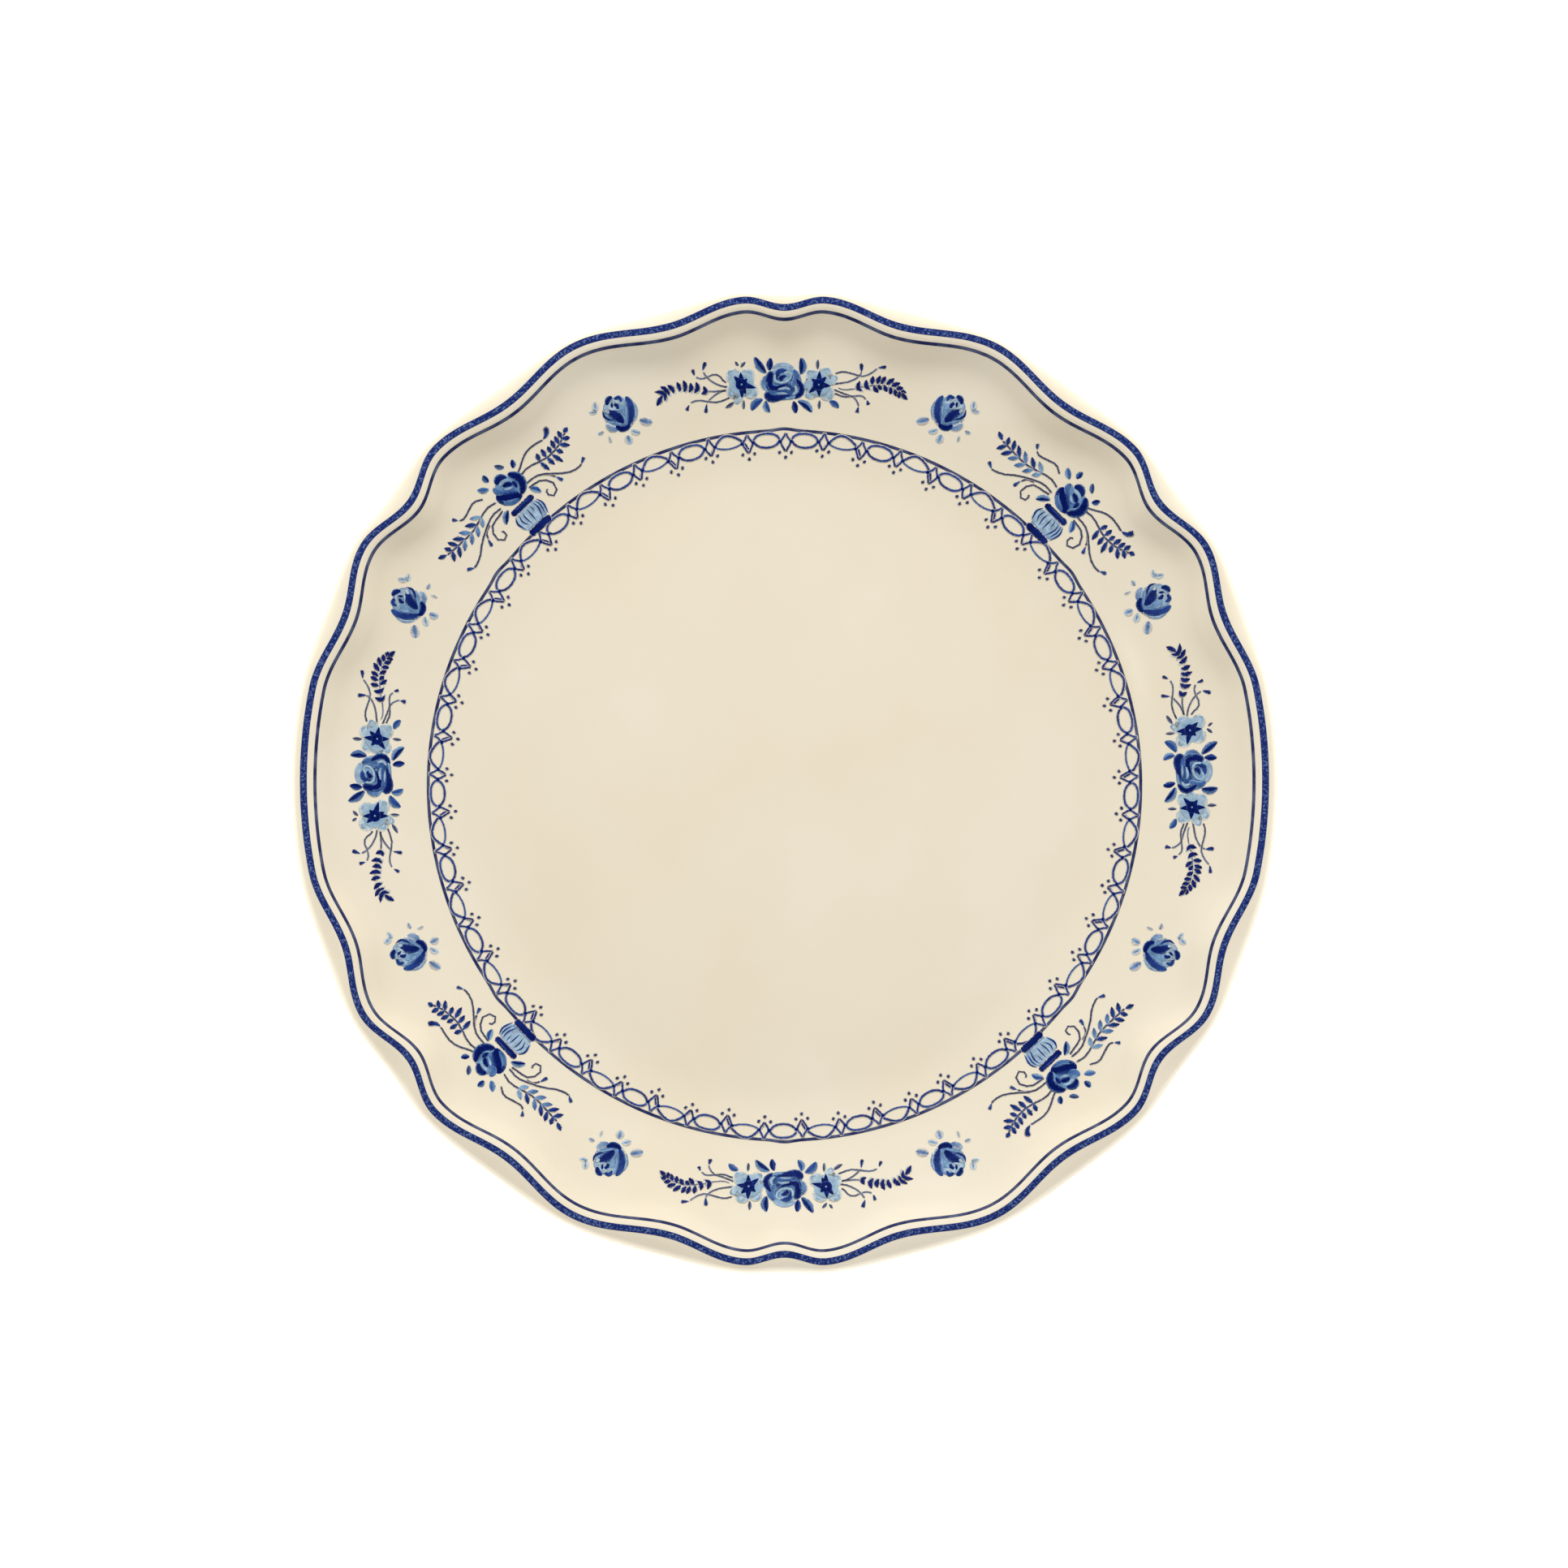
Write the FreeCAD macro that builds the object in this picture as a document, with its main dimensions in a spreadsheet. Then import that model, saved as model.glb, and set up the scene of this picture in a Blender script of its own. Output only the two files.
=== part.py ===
"""China dinner plate with a lobed rim: fired body, glaze coat and printed transfers.

The plate stands on its foot ring at Z = 0, with +Z up and the origin under its centre.
Lengths are millimetres and angles are degrees, measured from +X towards +Y.
"""

import FreeCAD, Part

import math
import os
import Sketcher

Vector = FreeCAD.Vector

# Driving dimensions: alias, value, what it is. They fill the spreadsheet.
DIMENSIONS = [
    ("crest_radius", 131.7, "centre line of the printed edge band, on a broad lobe"),
    ("crest_height", 24.0, "top of the rim above the table"),
    ("edge_overhang", 3.5, "outermost edge beyond the crest, on a broad lobe"),
    ("edge_drop", 4.6, "outermost edge below the crest"),
    ("edge_wave_share", 0.3, "how much of the crest's waves the outermost edge follows"),
    ("lip_inside", 3.5, "lip from the crest inwards to the thin line"),
    ("cove_start_radius", 112.0, "where the rim begins to follow the lobes"),
    ("well_radius", 80.0, "flat floor of the well"),
    ("floor_height", 7.0, "fired body's floor above the table"),
    ("wall_thickness", 3.9, "fired body's wall, square to its face"),
    ("foot_outer_radius", 81.0, "foot ring's outer wall where it meets the table"),
    ("foot_width", 2.6, "foot ring's dry bearing face"),
    ("foot_depth", 2.9, "recess inside the foot ring"),
    ("foot_taper", 0.25, "how much the dry stretch of the foot ring narrows to its face"),
    ("recess_slope", 2.1, "run of the sloping wall inside the foot ring"),
    ("glaze_thickness", 0.25, "fired glaze"),
    ("dry_height", 0.8, "bare clay up the foot ring's sides"),
    ("print_thickness", 0.12, "fired ceramic colour, drawn thicker than real"),
    ("band_width", 1.9, "printed edge band"),
    ("line_width", 0.7, "printed thin line inside the edge band"),
    ("line_inset", 3.15, "from the edge band's middle to the thin line"),
    ("well_line_radius", 98.2, "printed line round the lace border"),
    ("well_line_width", 0.6, "that line's width"),
    ("lace_inner_radius", 90.6, "inner reach of the lace border's dots"),
    ("lace_outer_radius", 97.6, "outer reach of the lace border's loops"),
    ("motif_inner_radius", 98.7, "inner reach of the rim's flower motifs"),
    ("motif_outer_radius", 124.0, "outer reach of the rim's flower motifs"),
    ("garland_distance", 111.2, "garland's rose from the plate's centre"),
    ("garland_rose_radius", 5.1, "garland's rose"),
    ("blossom_radius", 4.0, "garland's pale flowers"),
    ("blossom_offset", 10.5, "from the rose to each pale flower, along the rim"),
    ("garland_fern_offset", 27.0, "from the rose to the middle of each fern, along the rim"),
    ("garland_fern_inset", 2.4, "middle of each fern nearer the well than the rose"),
    ("garland_fern_tilt", 14.0, "turn of each fern towards the well"),
    ("garland_fern_half_length", 6.6, "garland fern"),
    ("garland_fern_half_width", 1.6, "garland fern"),
    ("urn_foot_distance", 98.8, "bottom of the bouquet's urn from the plate's centre"),
    ("urn_height", 8.8, "bouquet's urn"),
    ("urn_half_width", 4.2, "bouquet's urn"),
    ("bouquet_distance", 112.5, "bouquet's rose from the plate's centre"),
    ("bouquet_rose_radius", 4.3, "bouquet's rose"),
    ("spray_offset", 14.5, "from the rose to the middle of each spray, along the rim"),
    ("spray_tilt", 12.0, "turn of each spray towards the edge"),
    ("spray_half_length", 8.6, "bouquet's spray"),
    ("spray_half_width", 1.7, "bouquet's spray"),
    ("bud_distance", 112.8, "rosebud from the plate's centre"),
    ("bud_radius", 4.9, "rosebud"),
]

# The crest's turning points over a quarter of the rim: name, angle, offset from crest_radius.
LOBES = [
    ("broad_lobe", 11.0, 0.0),
    ("first_dip", 20.4, -3.15),
    ("first_crown", 29.0, 0.4),
    ("side_notch", 36.6, -3.8),
    ("second_crown", 43.6, 0.4),
    ("second_dip", 53.6, -3.25),
    ("third_crown", 64.4, 0.95),
    ("third_dip", 75.6, -2.9),
    ("fourth_crown", 85.1, 0.95),
    ("end_notch", 90.0, -1.55),
]

# Section of the upper face, as shares of a run and of the rise from floor to crest.
MARLY_STATIONS = [
    (0.00, 0.000), (0.10, 0.003), (0.25, 0.025), (0.42, 0.078), (0.60, 0.145), (0.80, 0.245),
]
COVE_STATIONS = [
    (0.00, 0.360), (0.27, 0.440), (0.50, 0.527), (0.70, 0.635), (0.86, 0.770), (1.00, 0.895),
]
LIP_STATIONS = [(0.42, 0.968), (0.72, 0.993)]

# Section round the edge: shares of the overhang and of the drop, and how much of the crest's
# own wave is left, from 1 on the crest to 0 at the outermost edge.
EDGE_STATIONS = [
    (0.00, 0.00, 1.00), (0.42, 0.06, 0.73), (0.74, 0.28, 0.40), (0.94, 0.62, 0.11),
    (1.00, 1.00, 0.00), (0.88, 1.36, 0.00), (0.50, 1.62, 0.07),
]

# Hollow where the underside turns down into the foot ring: out from the ring, down from the wall.
HEEL_STATIONS = [(2.6, 0.25), (1.1, 1.2)]

GARLAND_ANGLES = {"right": 1.7, "top": 90.2, "left": 178.7, "bottom": 270.0}
BOUQUET_ANGLES = {"right": 45.0, "top": 133.9, "left": 223.7, "bottom": 314.3}
BUD_ANGLES = {
    "right_upper": 26.4, "top_right": 66.2, "top_left": 113.9, "left_upper": 154.5,
    "left_lower": 204.4, "bottom_left": 245.2, "bottom_right": 293.5, "right_lower": 335.6,
}

FOOT_ROUNDING = 0.85
POINTS_ROUND = 288
SEARCH_STEPS = 400
TOOL_HEIGHT = 40.0
SEW_TOLERANCE = 1e-4


def fill_sheet(doc):
    """Writes every driving dimension into the spreadsheet, one row each, with its alias."""
    sheet = doc.addObject("Spreadsheet::Sheet", "sizes")
    rows = list(DIMENSIONS)
    for name, angle, offset in LOBES:
        rows.append((name + "_angle", angle, "angle of this turning point of the crest"))
        rows.append((name + "_offset", offset, "its distance outside crest_radius"))
    for number, (alias, value, meaning) in enumerate(rows, start=1):
        sheet.set(f"A{number}", meaning)
        sheet.set(f"B{number}", str(value))
        sheet.setAlias(f"B{number}", alias)
    doc.recompute()
    return sheet


class PlateForm:
    """The plate's section and the waves of its rim, read from the spreadsheet."""

    def __init__(self, sheet):
        self.size = lambda alias: float(sheet.get(alias))
        self.turns = [(0.0, 0.0)]
        for name, _, _ in LOBES:
            self.turns.append((self.size(name + "_angle"), self.size(name + "_offset")))

    def wave(self, angle):
        """The crest's offset from crest_radius at this angle, eased between turning points."""
        quarter = abs((angle + 90.0) % 180.0 - 90.0)
        for (low, start), (high, end) in zip(self.turns, self.turns[1:]):
            if quarter <= high:
                share = (quarter - low) / (high - low)
                return start + (end - start) * (1.0 - math.cos(math.pi * share)) / 2.0
        return self.turns[-1][1]

    def inside_share(self, radius):
        """How much of the wave a point inside the crest follows, from 0 to 1."""
        start = self.size("cove_start_radius")
        end = self.size("crest_radius") - self.size("lip_inside")
        share = min(1.0, max(0.0, (radius - start) / (end - start)))
        return share * share * (3.0 - 2.0 * share)

    def upper_section(self):
        """Stations of the upper face of the fired body, from the well's edge to the lip."""
        floor, crest = self.size("floor_height"), self.size("crest_radius")
        rise = self.size("crest_height") - floor
        lip = crest - self.size("lip_inside")
        cove, well = self.size("cove_start_radius"), self.size("well_radius")
        stations = []
        runs = ((well, cove, MARLY_STATIONS), (cove, lip, COVE_STATIONS), (lip, crest, LIP_STATIONS))
        for start, end, table in runs:
            for out, up in table:
                r = start + out * (end - start)
                stations.append((r, floor + up * rise, self.inside_share(r)))
        return stations

    def edge_section(self):
        """Stations over the crest, round the outermost edge and under it."""
        crest, top = self.size("crest_radius"), self.size("crest_height")
        over, drop = self.size("edge_overhang"), self.size("edge_drop")
        least = self.size("edge_wave_share")
        return [
            (crest + out * over, top - down * drop, least + (1.0 - least) * follow)
            for out, down, follow in EDGE_STATIONS
        ]

    def lower_section(self):
        """Stations of the underside, from the edge in to the foot ring, one wall below."""
        wall = self.size("wall_thickness")
        below = offset_section(self.upper_section(), -wall)
        foot, under = self.size("foot_outer_radius"), self.size("floor_height") - wall
        heel = [(foot + out, under - down, 0.0) for out, down in HEEL_STATIONS]
        return below[-3:1:-1] + heel

    def outer_section(self):
        """The whole glazed outside, from the well's edge over the rim to the foot's dry line."""
        stations = self.upper_section() + self.edge_section() + self.lower_section()
        foot = self.size("foot_outer_radius")
        return stations + [(foot + self.size("foot_taper"), self.size("dry_height"), 0.0)]


def offset_section(stations, distance):
    """Moves each station of a section outwards, square to the section."""
    moved = []
    for here, (r, z, share) in enumerate(stations):
        r0, z0, _ = stations[max(here - 1, 0)]
        r1, z1, _ = stations[min(here + 1, len(stations) - 1)]
        if here == 0:
            r1, z1 = r0 + 1.0, z0
        if here == len(stations) - 1:
            r0, z0 = r1, z1 + 1.0
        run, rise = r1 - r0, z1 - z0
        length = math.hypot(run, rise)
        moved.append((r - distance * rise / length, z + distance * run / length, share))
    return moved


def chord_parameters(stations):
    """Spline parameters along a section, by its length, from 0 to 1."""
    lengths = [0.0]
    for (r0, z0, _), (r1, z1, _) in zip(stations, stations[1:]):
        lengths.append(lengths[-1] + math.hypot(r1 - r0, z1 - z0))
    return [value / lengths[-1] for value in lengths]


def waved_surface(form, stations, parameters):
    """A smooth surface through rings at the stations, closed round Z, each ring with its waves."""
    angles = [360.0 * step / POINTS_ROUND for step in range(POINTS_ROUND)]
    waves = [form.wave(angle) for angle in angles]
    around = [step / POINTS_ROUND for step in range(POINTS_ROUND + 1)]
    rings = []
    for r, z, share in stations:
        points = []
        for angle, wave in zip(angles, waves):
            reach = r + share * wave
            turn = math.radians(angle)
            points.append(Vector(reach * math.cos(turn), reach * math.sin(turn), z))
        ring = Part.BSplineCurve()
        ring.interpolate(Points=points, PeriodicFlag=True, Parameters=around)
        rings.append(ring)
    columns = []
    for number in range(len(rings[0].getPoles())):
        column = Part.BSplineCurve()
        poles = [ring.getPole(number + 1) for ring in rings]
        column.interpolate(Points=poles, Parameters=parameters)
        columns.append(column)
    surface = Part.BSplineSurface()
    surface.buildFromPolesMultsKnots(
        [column.getPoles() for column in columns],
        rings[0].getMultiplicities(), columns[0].getMultiplicities(),
        rings[0].getKnots(), columns[0].getKnots(),
        True, False, rings[0].Degree, columns[0].Degree,
    )
    return surface


def edge_at(surface, parameter):
    """The closed edge round Z where a surface has this parameter along its section."""
    return surface.vIso(parameter).toShape()


def sewn_solid(faces):
    """One closed solid from faces that meet edge to edge."""
    shell = Part.makeShell(faces)
    shell.sewShape(SEW_TOLERANCE)
    solid = Part.makeSolid(shell.Shells[0] if shell.Shells else shell)
    if solid.Volume < 0:
        solid.reverse()
    return solid


def disc(edge):
    """The flat face inside a closed edge."""
    return Part.Face(Part.Wire([edge]))


def flat_ring(outer, inner):
    """The flat face between two closed edges."""
    return Part.makeFace([Part.Wire([outer]), Part.Wire([inner])], "Part::FaceMakerBullseye")


def add_shape(doc, label, shape):
    """Adds a shape to the document as an object of its own."""
    feature = doc.addObject("Part::Feature", label)
    feature.Shape = shape
    feature.Placement = FreeCAD.Placement()
    return feature


def foot_surfaces(form):
    """The foot ring's dry outer side, its dry inner side and the recess it stands round."""
    foot, dry, taper = form.size("foot_outer_radius"), form.size("dry_height"), form.size("foot_taper")
    inner = foot - form.size("foot_width")
    slope, top = form.size("recess_slope"), form.size("foot_depth")
    middle = (taper * FOOT_ROUNDING, dry / 2.0)
    outside = [(foot + taper, dry, 0.0), (foot + middle[0], middle[1], 0.0), (foot, 0.0, 0.0)]
    inside = [(inner, 0.0, 0.0), (inner - middle[0], middle[1], 0.0), (inner - taper, dry, 0.0)]
    wall = inner - taper
    recess = [(wall, dry, 0.0), (wall - slope / 2.0, (dry + top) / 2.0, 0.0), (wall - slope, top, 0.0)]
    sections = (outside, inside, recess)
    return [waved_surface(form, rings, chord_parameters(rings)) for rings in sections]


def bisque_body(doc, form, outer):
    """The fired clay: floor, rim, edge, underside and foot ring in one piece."""
    outside, inside, recess = foot_surfaces(form)
    faces = [
        disc(edge_at(outer, 0.0)),
        outer.toShape(),
        outside.toShape(),
        flat_ring(edge_at(outside, 1.0), edge_at(inside, 0.0)),
        inside.toShape(),
        recess.toShape(),
        disc(edge_at(recess, 1.0)),
    ]
    return add_shape(doc, "bisque_body", sewn_solid(faces))


def glaze_coat(doc, outer, glazed):
    """The glass skin over the well, rim and underside, which ends at the foot's dry line."""
    faces = [
        disc(edge_at(glazed, 0.0)),
        glazed.toShape(),
        Part.makeRuledSurface(edge_at(glazed, 1.0), edge_at(outer, 1.0)),
        outer.toShape(),
        disc(edge_at(outer, 0.0)),
    ]
    return add_shape(doc, "glaze_coat", sewn_solid(faces))


def recess_glaze(doc, form):
    """The glass skin inside the foot ring: a turned dish, one glaze thick."""
    body = doc.addObject("PartDesign::Body", "recess_glaze")
    sketch = body.newObject("Sketcher::SketchObject", "recess_glaze_section")
    plane = next(f for f in body.Origin.OriginFeatures if f.Role == "XZ_Plane")
    sketch.AttachmentSupport = (plane, [""])
    sketch.MapMode = "FlatFace"
    wall = form.size("foot_outer_radius") - form.size("foot_width") - form.size("foot_taper")
    slope, skin = form.size("recess_slope"), form.size("glaze_thickness")
    top, dry = form.size("foot_depth"), form.size("dry_height")
    corners = [
        (0, top), (0, top - skin), (wall - slope - skin, top - skin),
        (wall - skin, dry), (wall, dry), (wall - slope, top),
    ]
    for here, there in zip(corners, corners[1:] + corners[:1]):
        sketch.addGeometry(Part.LineSegment(Vector(*here, 0), Vector(*there, 0)), False)
    tie_recess_sketch(sketch)
    doc.recompute()
    turned = body.newObject("PartDesign::Revolution", "recess_glaze_turned")
    turned.Profile = sketch
    turned.ReferenceAxis = (sketch, ["V_Axis"])
    turned.Angle = 360.0
    return body


def tie_recess_sketch(sketch):
    """Closes the recess section and ties its sizes to the spreadsheet."""
    sides = len(sketch.Geometry)
    for side in range(sides):
        sketch.addConstraint(Sketcher.Constraint("Coincident", side, 2, (side + 1) % sides, 1))
    sketch.addConstraint(Sketcher.Constraint("PointOnObject", 0, 1, -2))
    sketch.addConstraint(Sketcher.Constraint("Vertical", 0))
    for side in (1, 3, 5):
        sketch.addConstraint(Sketcher.Constraint("Horizontal", side))
    wall = "sizes.foot_outer_radius - sizes.foot_width - sizes.foot_taper"
    sized = [
        ("DistanceY", 0, 1, "sizes.foot_depth"),
        ("DistanceY", 1, 1, "sizes.foot_depth - sizes.glaze_thickness"),
        ("DistanceY", 2, 2, "sizes.dry_height"),
        ("DistanceX", 3, 2, wall),
        ("DistanceX", 3, 1, wall + " - sizes.glaze_thickness"),
        ("DistanceX", 1, 2, wall + " - sizes.glaze_thickness - sizes.recess_slope"),
        ("DistanceX", 5, 1, wall + " - sizes.recess_slope"),
    ]
    for kind, side, point, expression in sized:
        line = sketch.Geometry[side]
        corner = line.StartPoint if point == 1 else line.EndPoint
        value = corner.y if kind == "DistanceY" else corner.x
        number = sketch.addConstraint(Sketcher.Constraint(kind, -1, 1, side, point, value))
        sketch.setExpression(f"Constraints[{number}]", expression)


def section_parameter(surface, wanted_radius):
    """The section parameter on the upper face where the surface's radius at +X is as wanted."""
    low, high = 0.0, outermost_parameter(surface)
    while high - low > SEW_TOLERANCE ** 2:
        middle = (low + high) / 2.0
        if surface.value(0.0, middle).x < wanted_radius:
            low = middle
        else:
            high = middle
    return low


def outermost_parameter(surface):
    """The section parameter where the surface's radius at +X is largest."""
    steps = [number / SEARCH_STEPS for number in range(SEARCH_STEPS + 1)]
    return max(steps, key=lambda step: surface.value(0.0, step).x)


def printed_ring(glazed, printed, inner_radius, outer_radius):
    """A ring of ceramic colour on the glaze, between two radii on a broad lobe."""
    start = section_parameter(glazed, inner_radius)
    end = section_parameter(glazed, outer_radius)
    faces = []
    for surface in (glazed, printed):
        patch = surface.copy()
        patch.segment(0.0, 1.0, start, end)
        faces.append(patch.toShape())
    for parameter in (start, end):
        faces.append(
            Part.makeRuledSurface(edge_at(glazed, parameter), edge_at(printed, parameter))
        )
    return sewn_solid(faces)


def ring_prints(doc, form, glazed, printed):
    """The edge band, the thin line, the well line and the lace border's ground."""
    crest = form.size("crest_radius")
    half_band = form.size("band_width") / 2.0
    half_line = form.size("line_width") / 2.0
    line = crest - form.size("line_inset")
    well_line = form.size("well_line_radius")
    half_well = form.size("well_line_width") / 2.0
    spans = {
        "edge_band_print": (crest - half_band, crest + half_band),
        "edge_line_print": (line - half_line, line + half_line),
        "well_line_print": (well_line - half_well, well_line + half_well),
        "lace_border_print": (form.size("lace_inner_radius"), form.size("lace_outer_radius")),
    }
    return [
        add_shape(doc, label, printed_ring(glazed, printed, *span))
        for label, span in spans.items()
    ]


def polar_placement(angle, distance, along=0.0, turn=0.0):
    """Where a motif's piece stands: on the ray at this angle, moved clockwise by along."""
    ray = math.radians(angle)
    x = distance * math.cos(ray) + along * math.sin(ray)
    y = distance * math.sin(ray) - along * math.cos(ray)
    return FreeCAD.Placement(Vector(x, y, 0), FreeCAD.Rotation(Vector(0, 0, 1), angle - 90 + turn))


def round_tool(doc, name, radius_alias, placement):
    """A tall cylinder that cuts a round motif out of the printed layer."""
    tool = doc.addObject("Part::Cylinder", name)
    tool.setExpression("Radius", f"sizes.{radius_alias}")
    tool.Height = TOOL_HEIGHT
    tool.Placement = placement
    return tool


def oval_tool(doc, name, length_alias, width_alias, placement):
    """A tall oval prism that cuts a fern or a spray out of the printed layer."""
    oval = doc.addObject("Part::Ellipse", name + "_outline")
    oval.setExpression("MajorRadius", f"sizes.{length_alias}")
    oval.setExpression("MinorRadius", f"sizes.{width_alias}")
    oval.Placement = placement
    tool = doc.addObject("Part::Extrusion", name)
    tool.Base = oval
    tool.Dir = Vector(0, 0, TOOL_HEIGHT)
    tool.Solid = True
    return tool


def urn_tool(doc, name, placement):
    """A tall block that cuts the bouquet's urn out of the printed layer."""
    tool = doc.addObject("Part::Box", name)
    tool.setExpression("Length", "2 * sizes.urn_half_width")
    tool.setExpression("Width", "sizes.urn_height")
    tool.Height = TOOL_HEIGHT
    tool.Placement = placement
    return tool


def motif(doc, label, layer, tools):
    """A printed motif: the part of the printed layer that its tools cover."""
    together = doc.addObject("Part::Compound", label + "_tools")
    together.Links = tools
    cut = doc.addObject("Part::Common", label)
    cut.Base = layer
    cut.Tool = together
    return cut


def garland(doc, form, layer, side, angle):
    """A garland: rose, two pale flowers and two ferns in a row along the rim."""
    label = f"garland_{side}_print"
    at = form.size("garland_distance")
    blossom, fern = form.size("blossom_offset"), form.size("garland_fern_offset")
    inset, tilt = form.size("garland_fern_inset"), form.size("garland_fern_tilt")
    tools = [
        round_tool(doc, label + "_rose", "garland_rose_radius", polar_placement(angle, at))
    ]
    for way, hand in ((-1, "a"), (1, "b")):
        flower = polar_placement(angle, at, way * blossom)
        tools.append(round_tool(doc, f"{label}_blossom_{hand}", "blossom_radius", flower))
        spot = polar_placement(angle, at - inset, way * fern, -tilt * way)
        halves = ("garland_fern_half_length", "garland_fern_half_width")
        tools.append(oval_tool(doc, f"{label}_fern_{hand}", *halves, spot))
    return motif(doc, label, layer, tools)


def bouquet(doc, form, layer, side, angle):
    """A bouquet: urn, rose and two long sprays."""
    label = f"bouquet_{side}_print"
    at, spray, tilt = (form.size(a) for a in ("bouquet_distance", "spray_offset", "spray_tilt"))
    foot = polar_placement(angle, form.size("urn_foot_distance"), -form.size("urn_half_width"))
    tools = [
        urn_tool(doc, label + "_urn", foot),
        round_tool(doc, label + "_rose", "bouquet_rose_radius", polar_placement(angle, at)),
    ]
    for way, hand in ((-1, "a"), (1, "b")):
        spot = polar_placement(angle, at, way * spray, tilt * way)
        halves = ("spray_half_length", "spray_half_width")
        tools.append(oval_tool(doc, f"{label}_spray_{hand}", *halves, spot))
    return motif(doc, label, layer, tools)


def rosebud(doc, form, layer, side, angle):
    """A single rosebud between a garland and a bouquet."""
    label = f"rosebud_{side}_print"
    spot = polar_placement(angle, form.size("bud_distance"))
    return motif(doc, label, layer, [round_tool(doc, label + "_round", "bud_radius", spot)])


def motif_prints(doc, form, glazed, printed):
    """Every garland, bouquet and rosebud, cut from one printed layer over the rim."""
    reach = (form.size("motif_inner_radius"), form.size("motif_outer_radius"))
    layer = add_shape(doc, "rim_print_layer", printed_ring(glazed, printed, *reach))
    prints = [garland(doc, form, layer, side, a) for side, a in GARLAND_ANGLES.items()]
    prints += [bouquet(doc, form, layer, side, a) for side, a in BOUQUET_ANGLES.items()]
    prints += [rosebud(doc, form, layer, side, a) for side, a in BUD_ANGLES.items()]
    return prints


def check_and_export(doc, parts):
    """Stops on any failed object or bad shape, then writes each sub-part's STEP file."""
    for thing in doc.Objects:
        if {"Invalid", "Error"} & set(thing.State):
            raise RuntimeError(f"{thing.Label} failed: {thing.State}")
    for part in parts:
        shape = part.Shape
        if shape.isNull() or not shape.isValid() or not shape.Solids or shape.Volume <= 0:
            raise RuntimeError(f"{part.Label} has no valid solid")
    os.makedirs("parts", exist_ok=True)
    for part in parts:
        part.Shape.exportStep(os.path.join("parts", part.Label + ".step"))
        print(f"{part.Label}: {len(part.Shape.Solids)} solids, {part.Shape.Volume:.2f} mm3")


def main():
    """Builds the plate and writes its parts."""
    doc = FreeCAD.newDocument("dinner_plate")
    form = PlateForm(fill_sheet(doc))
    section = form.outer_section()
    parameters = chord_parameters(section)
    glaze, colour = form.size("glaze_thickness"), form.size("print_thickness")
    outer = waved_surface(form, section, parameters)
    glazed = waved_surface(form, offset_section(section, glaze), parameters)
    printed = waved_surface(form, offset_section(section, glaze + colour), parameters)
    parts = [
        bisque_body(doc, form, outer),
        glaze_coat(doc, outer, glazed),
        recess_glaze(doc, form),
    ]
    parts += ring_prints(doc, form, glazed, printed)
    parts += motif_prints(doc, form, glazed, printed)
    doc.recompute()
    check_and_export(doc, parts)


main()
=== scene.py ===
"""China dinner plate: the visual model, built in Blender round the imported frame."""

import logging
import math
from dataclasses import dataclass
from enum import Enum

import bpy
import numpy as np
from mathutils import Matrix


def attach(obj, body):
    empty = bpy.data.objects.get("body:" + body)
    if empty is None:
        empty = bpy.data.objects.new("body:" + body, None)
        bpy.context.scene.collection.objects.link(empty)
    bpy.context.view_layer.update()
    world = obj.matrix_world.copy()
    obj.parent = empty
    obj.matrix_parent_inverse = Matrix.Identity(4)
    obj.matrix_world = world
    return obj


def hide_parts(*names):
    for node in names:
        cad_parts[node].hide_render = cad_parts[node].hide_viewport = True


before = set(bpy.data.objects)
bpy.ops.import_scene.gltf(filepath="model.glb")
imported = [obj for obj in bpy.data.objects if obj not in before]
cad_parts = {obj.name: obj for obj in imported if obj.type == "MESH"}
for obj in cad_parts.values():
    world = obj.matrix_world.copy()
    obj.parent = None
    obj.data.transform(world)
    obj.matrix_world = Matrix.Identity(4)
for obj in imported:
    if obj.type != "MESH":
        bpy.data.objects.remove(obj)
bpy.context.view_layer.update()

MM = 0.001
LOG = logging.getLogger("plate")
Point = tuple[float, float]

# Each layer of brush strokes lies a little above the one below, so that the upper one shows.
LOWEST_LIFT = 0.035
LAYER_STEP = 0.011
# How much closer together a stroke's cross-sections stand at its ends, where it is rounded.
END_CROWDING = 0.11


# ------------------------------------------------------------------ colours and nodes


def linear(code: str) -> tuple[float, float, float, float]:
    """Turns an sRGB hex colour into linear light.

    Args:
        code: Six hex digits after a hash.

    Returns:
        Linear red, green, blue and an alpha of 1.
    """
    parts = [int(code[place:place + 2], 16) / 255.0 for place in (1, 3, 5)]
    light = [p / 12.92 if p <= 0.04045 else ((p + 0.055) / 1.055) ** 2.4 for p in parts]
    return (light[0], light[1], light[2], 1.0)


def add_node(tree, kind: str, values: dict | None = None, links: dict | None = None, **settings):
    """Adds one shader node, sets it and links its inputs.

    Args:
        tree: Node tree that takes the node.
        kind: Blender's identifier of the node type.
        values: Input values by socket name or number.
        links: For each input socket, a (node, output socket) pair.
        settings: Attributes of the node itself.

    Returns:
        The new node.
    """
    node = tree.nodes.new(kind)
    for name, value in settings.items():
        setattr(node, name, value)
    for socket, value in (values or {}).items():
        node.inputs[socket].default_value = value
    for socket, (source, output) in (links or {}).items():
        tree.links.new(source.outputs[output], node.inputs[socket])
    return node


def new_material(name: str):
    """Makes an empty node material.

    Args:
        name: The material's name.

    Returns:
        The material, its node tree and its output node.
    """
    material = bpy.data.materials.new(name)
    material.use_nodes = True
    material.node_tree.nodes.clear()
    output = add_node(material.node_tree, "ShaderNodeOutputMaterial")
    return material, material.node_tree, output


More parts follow.
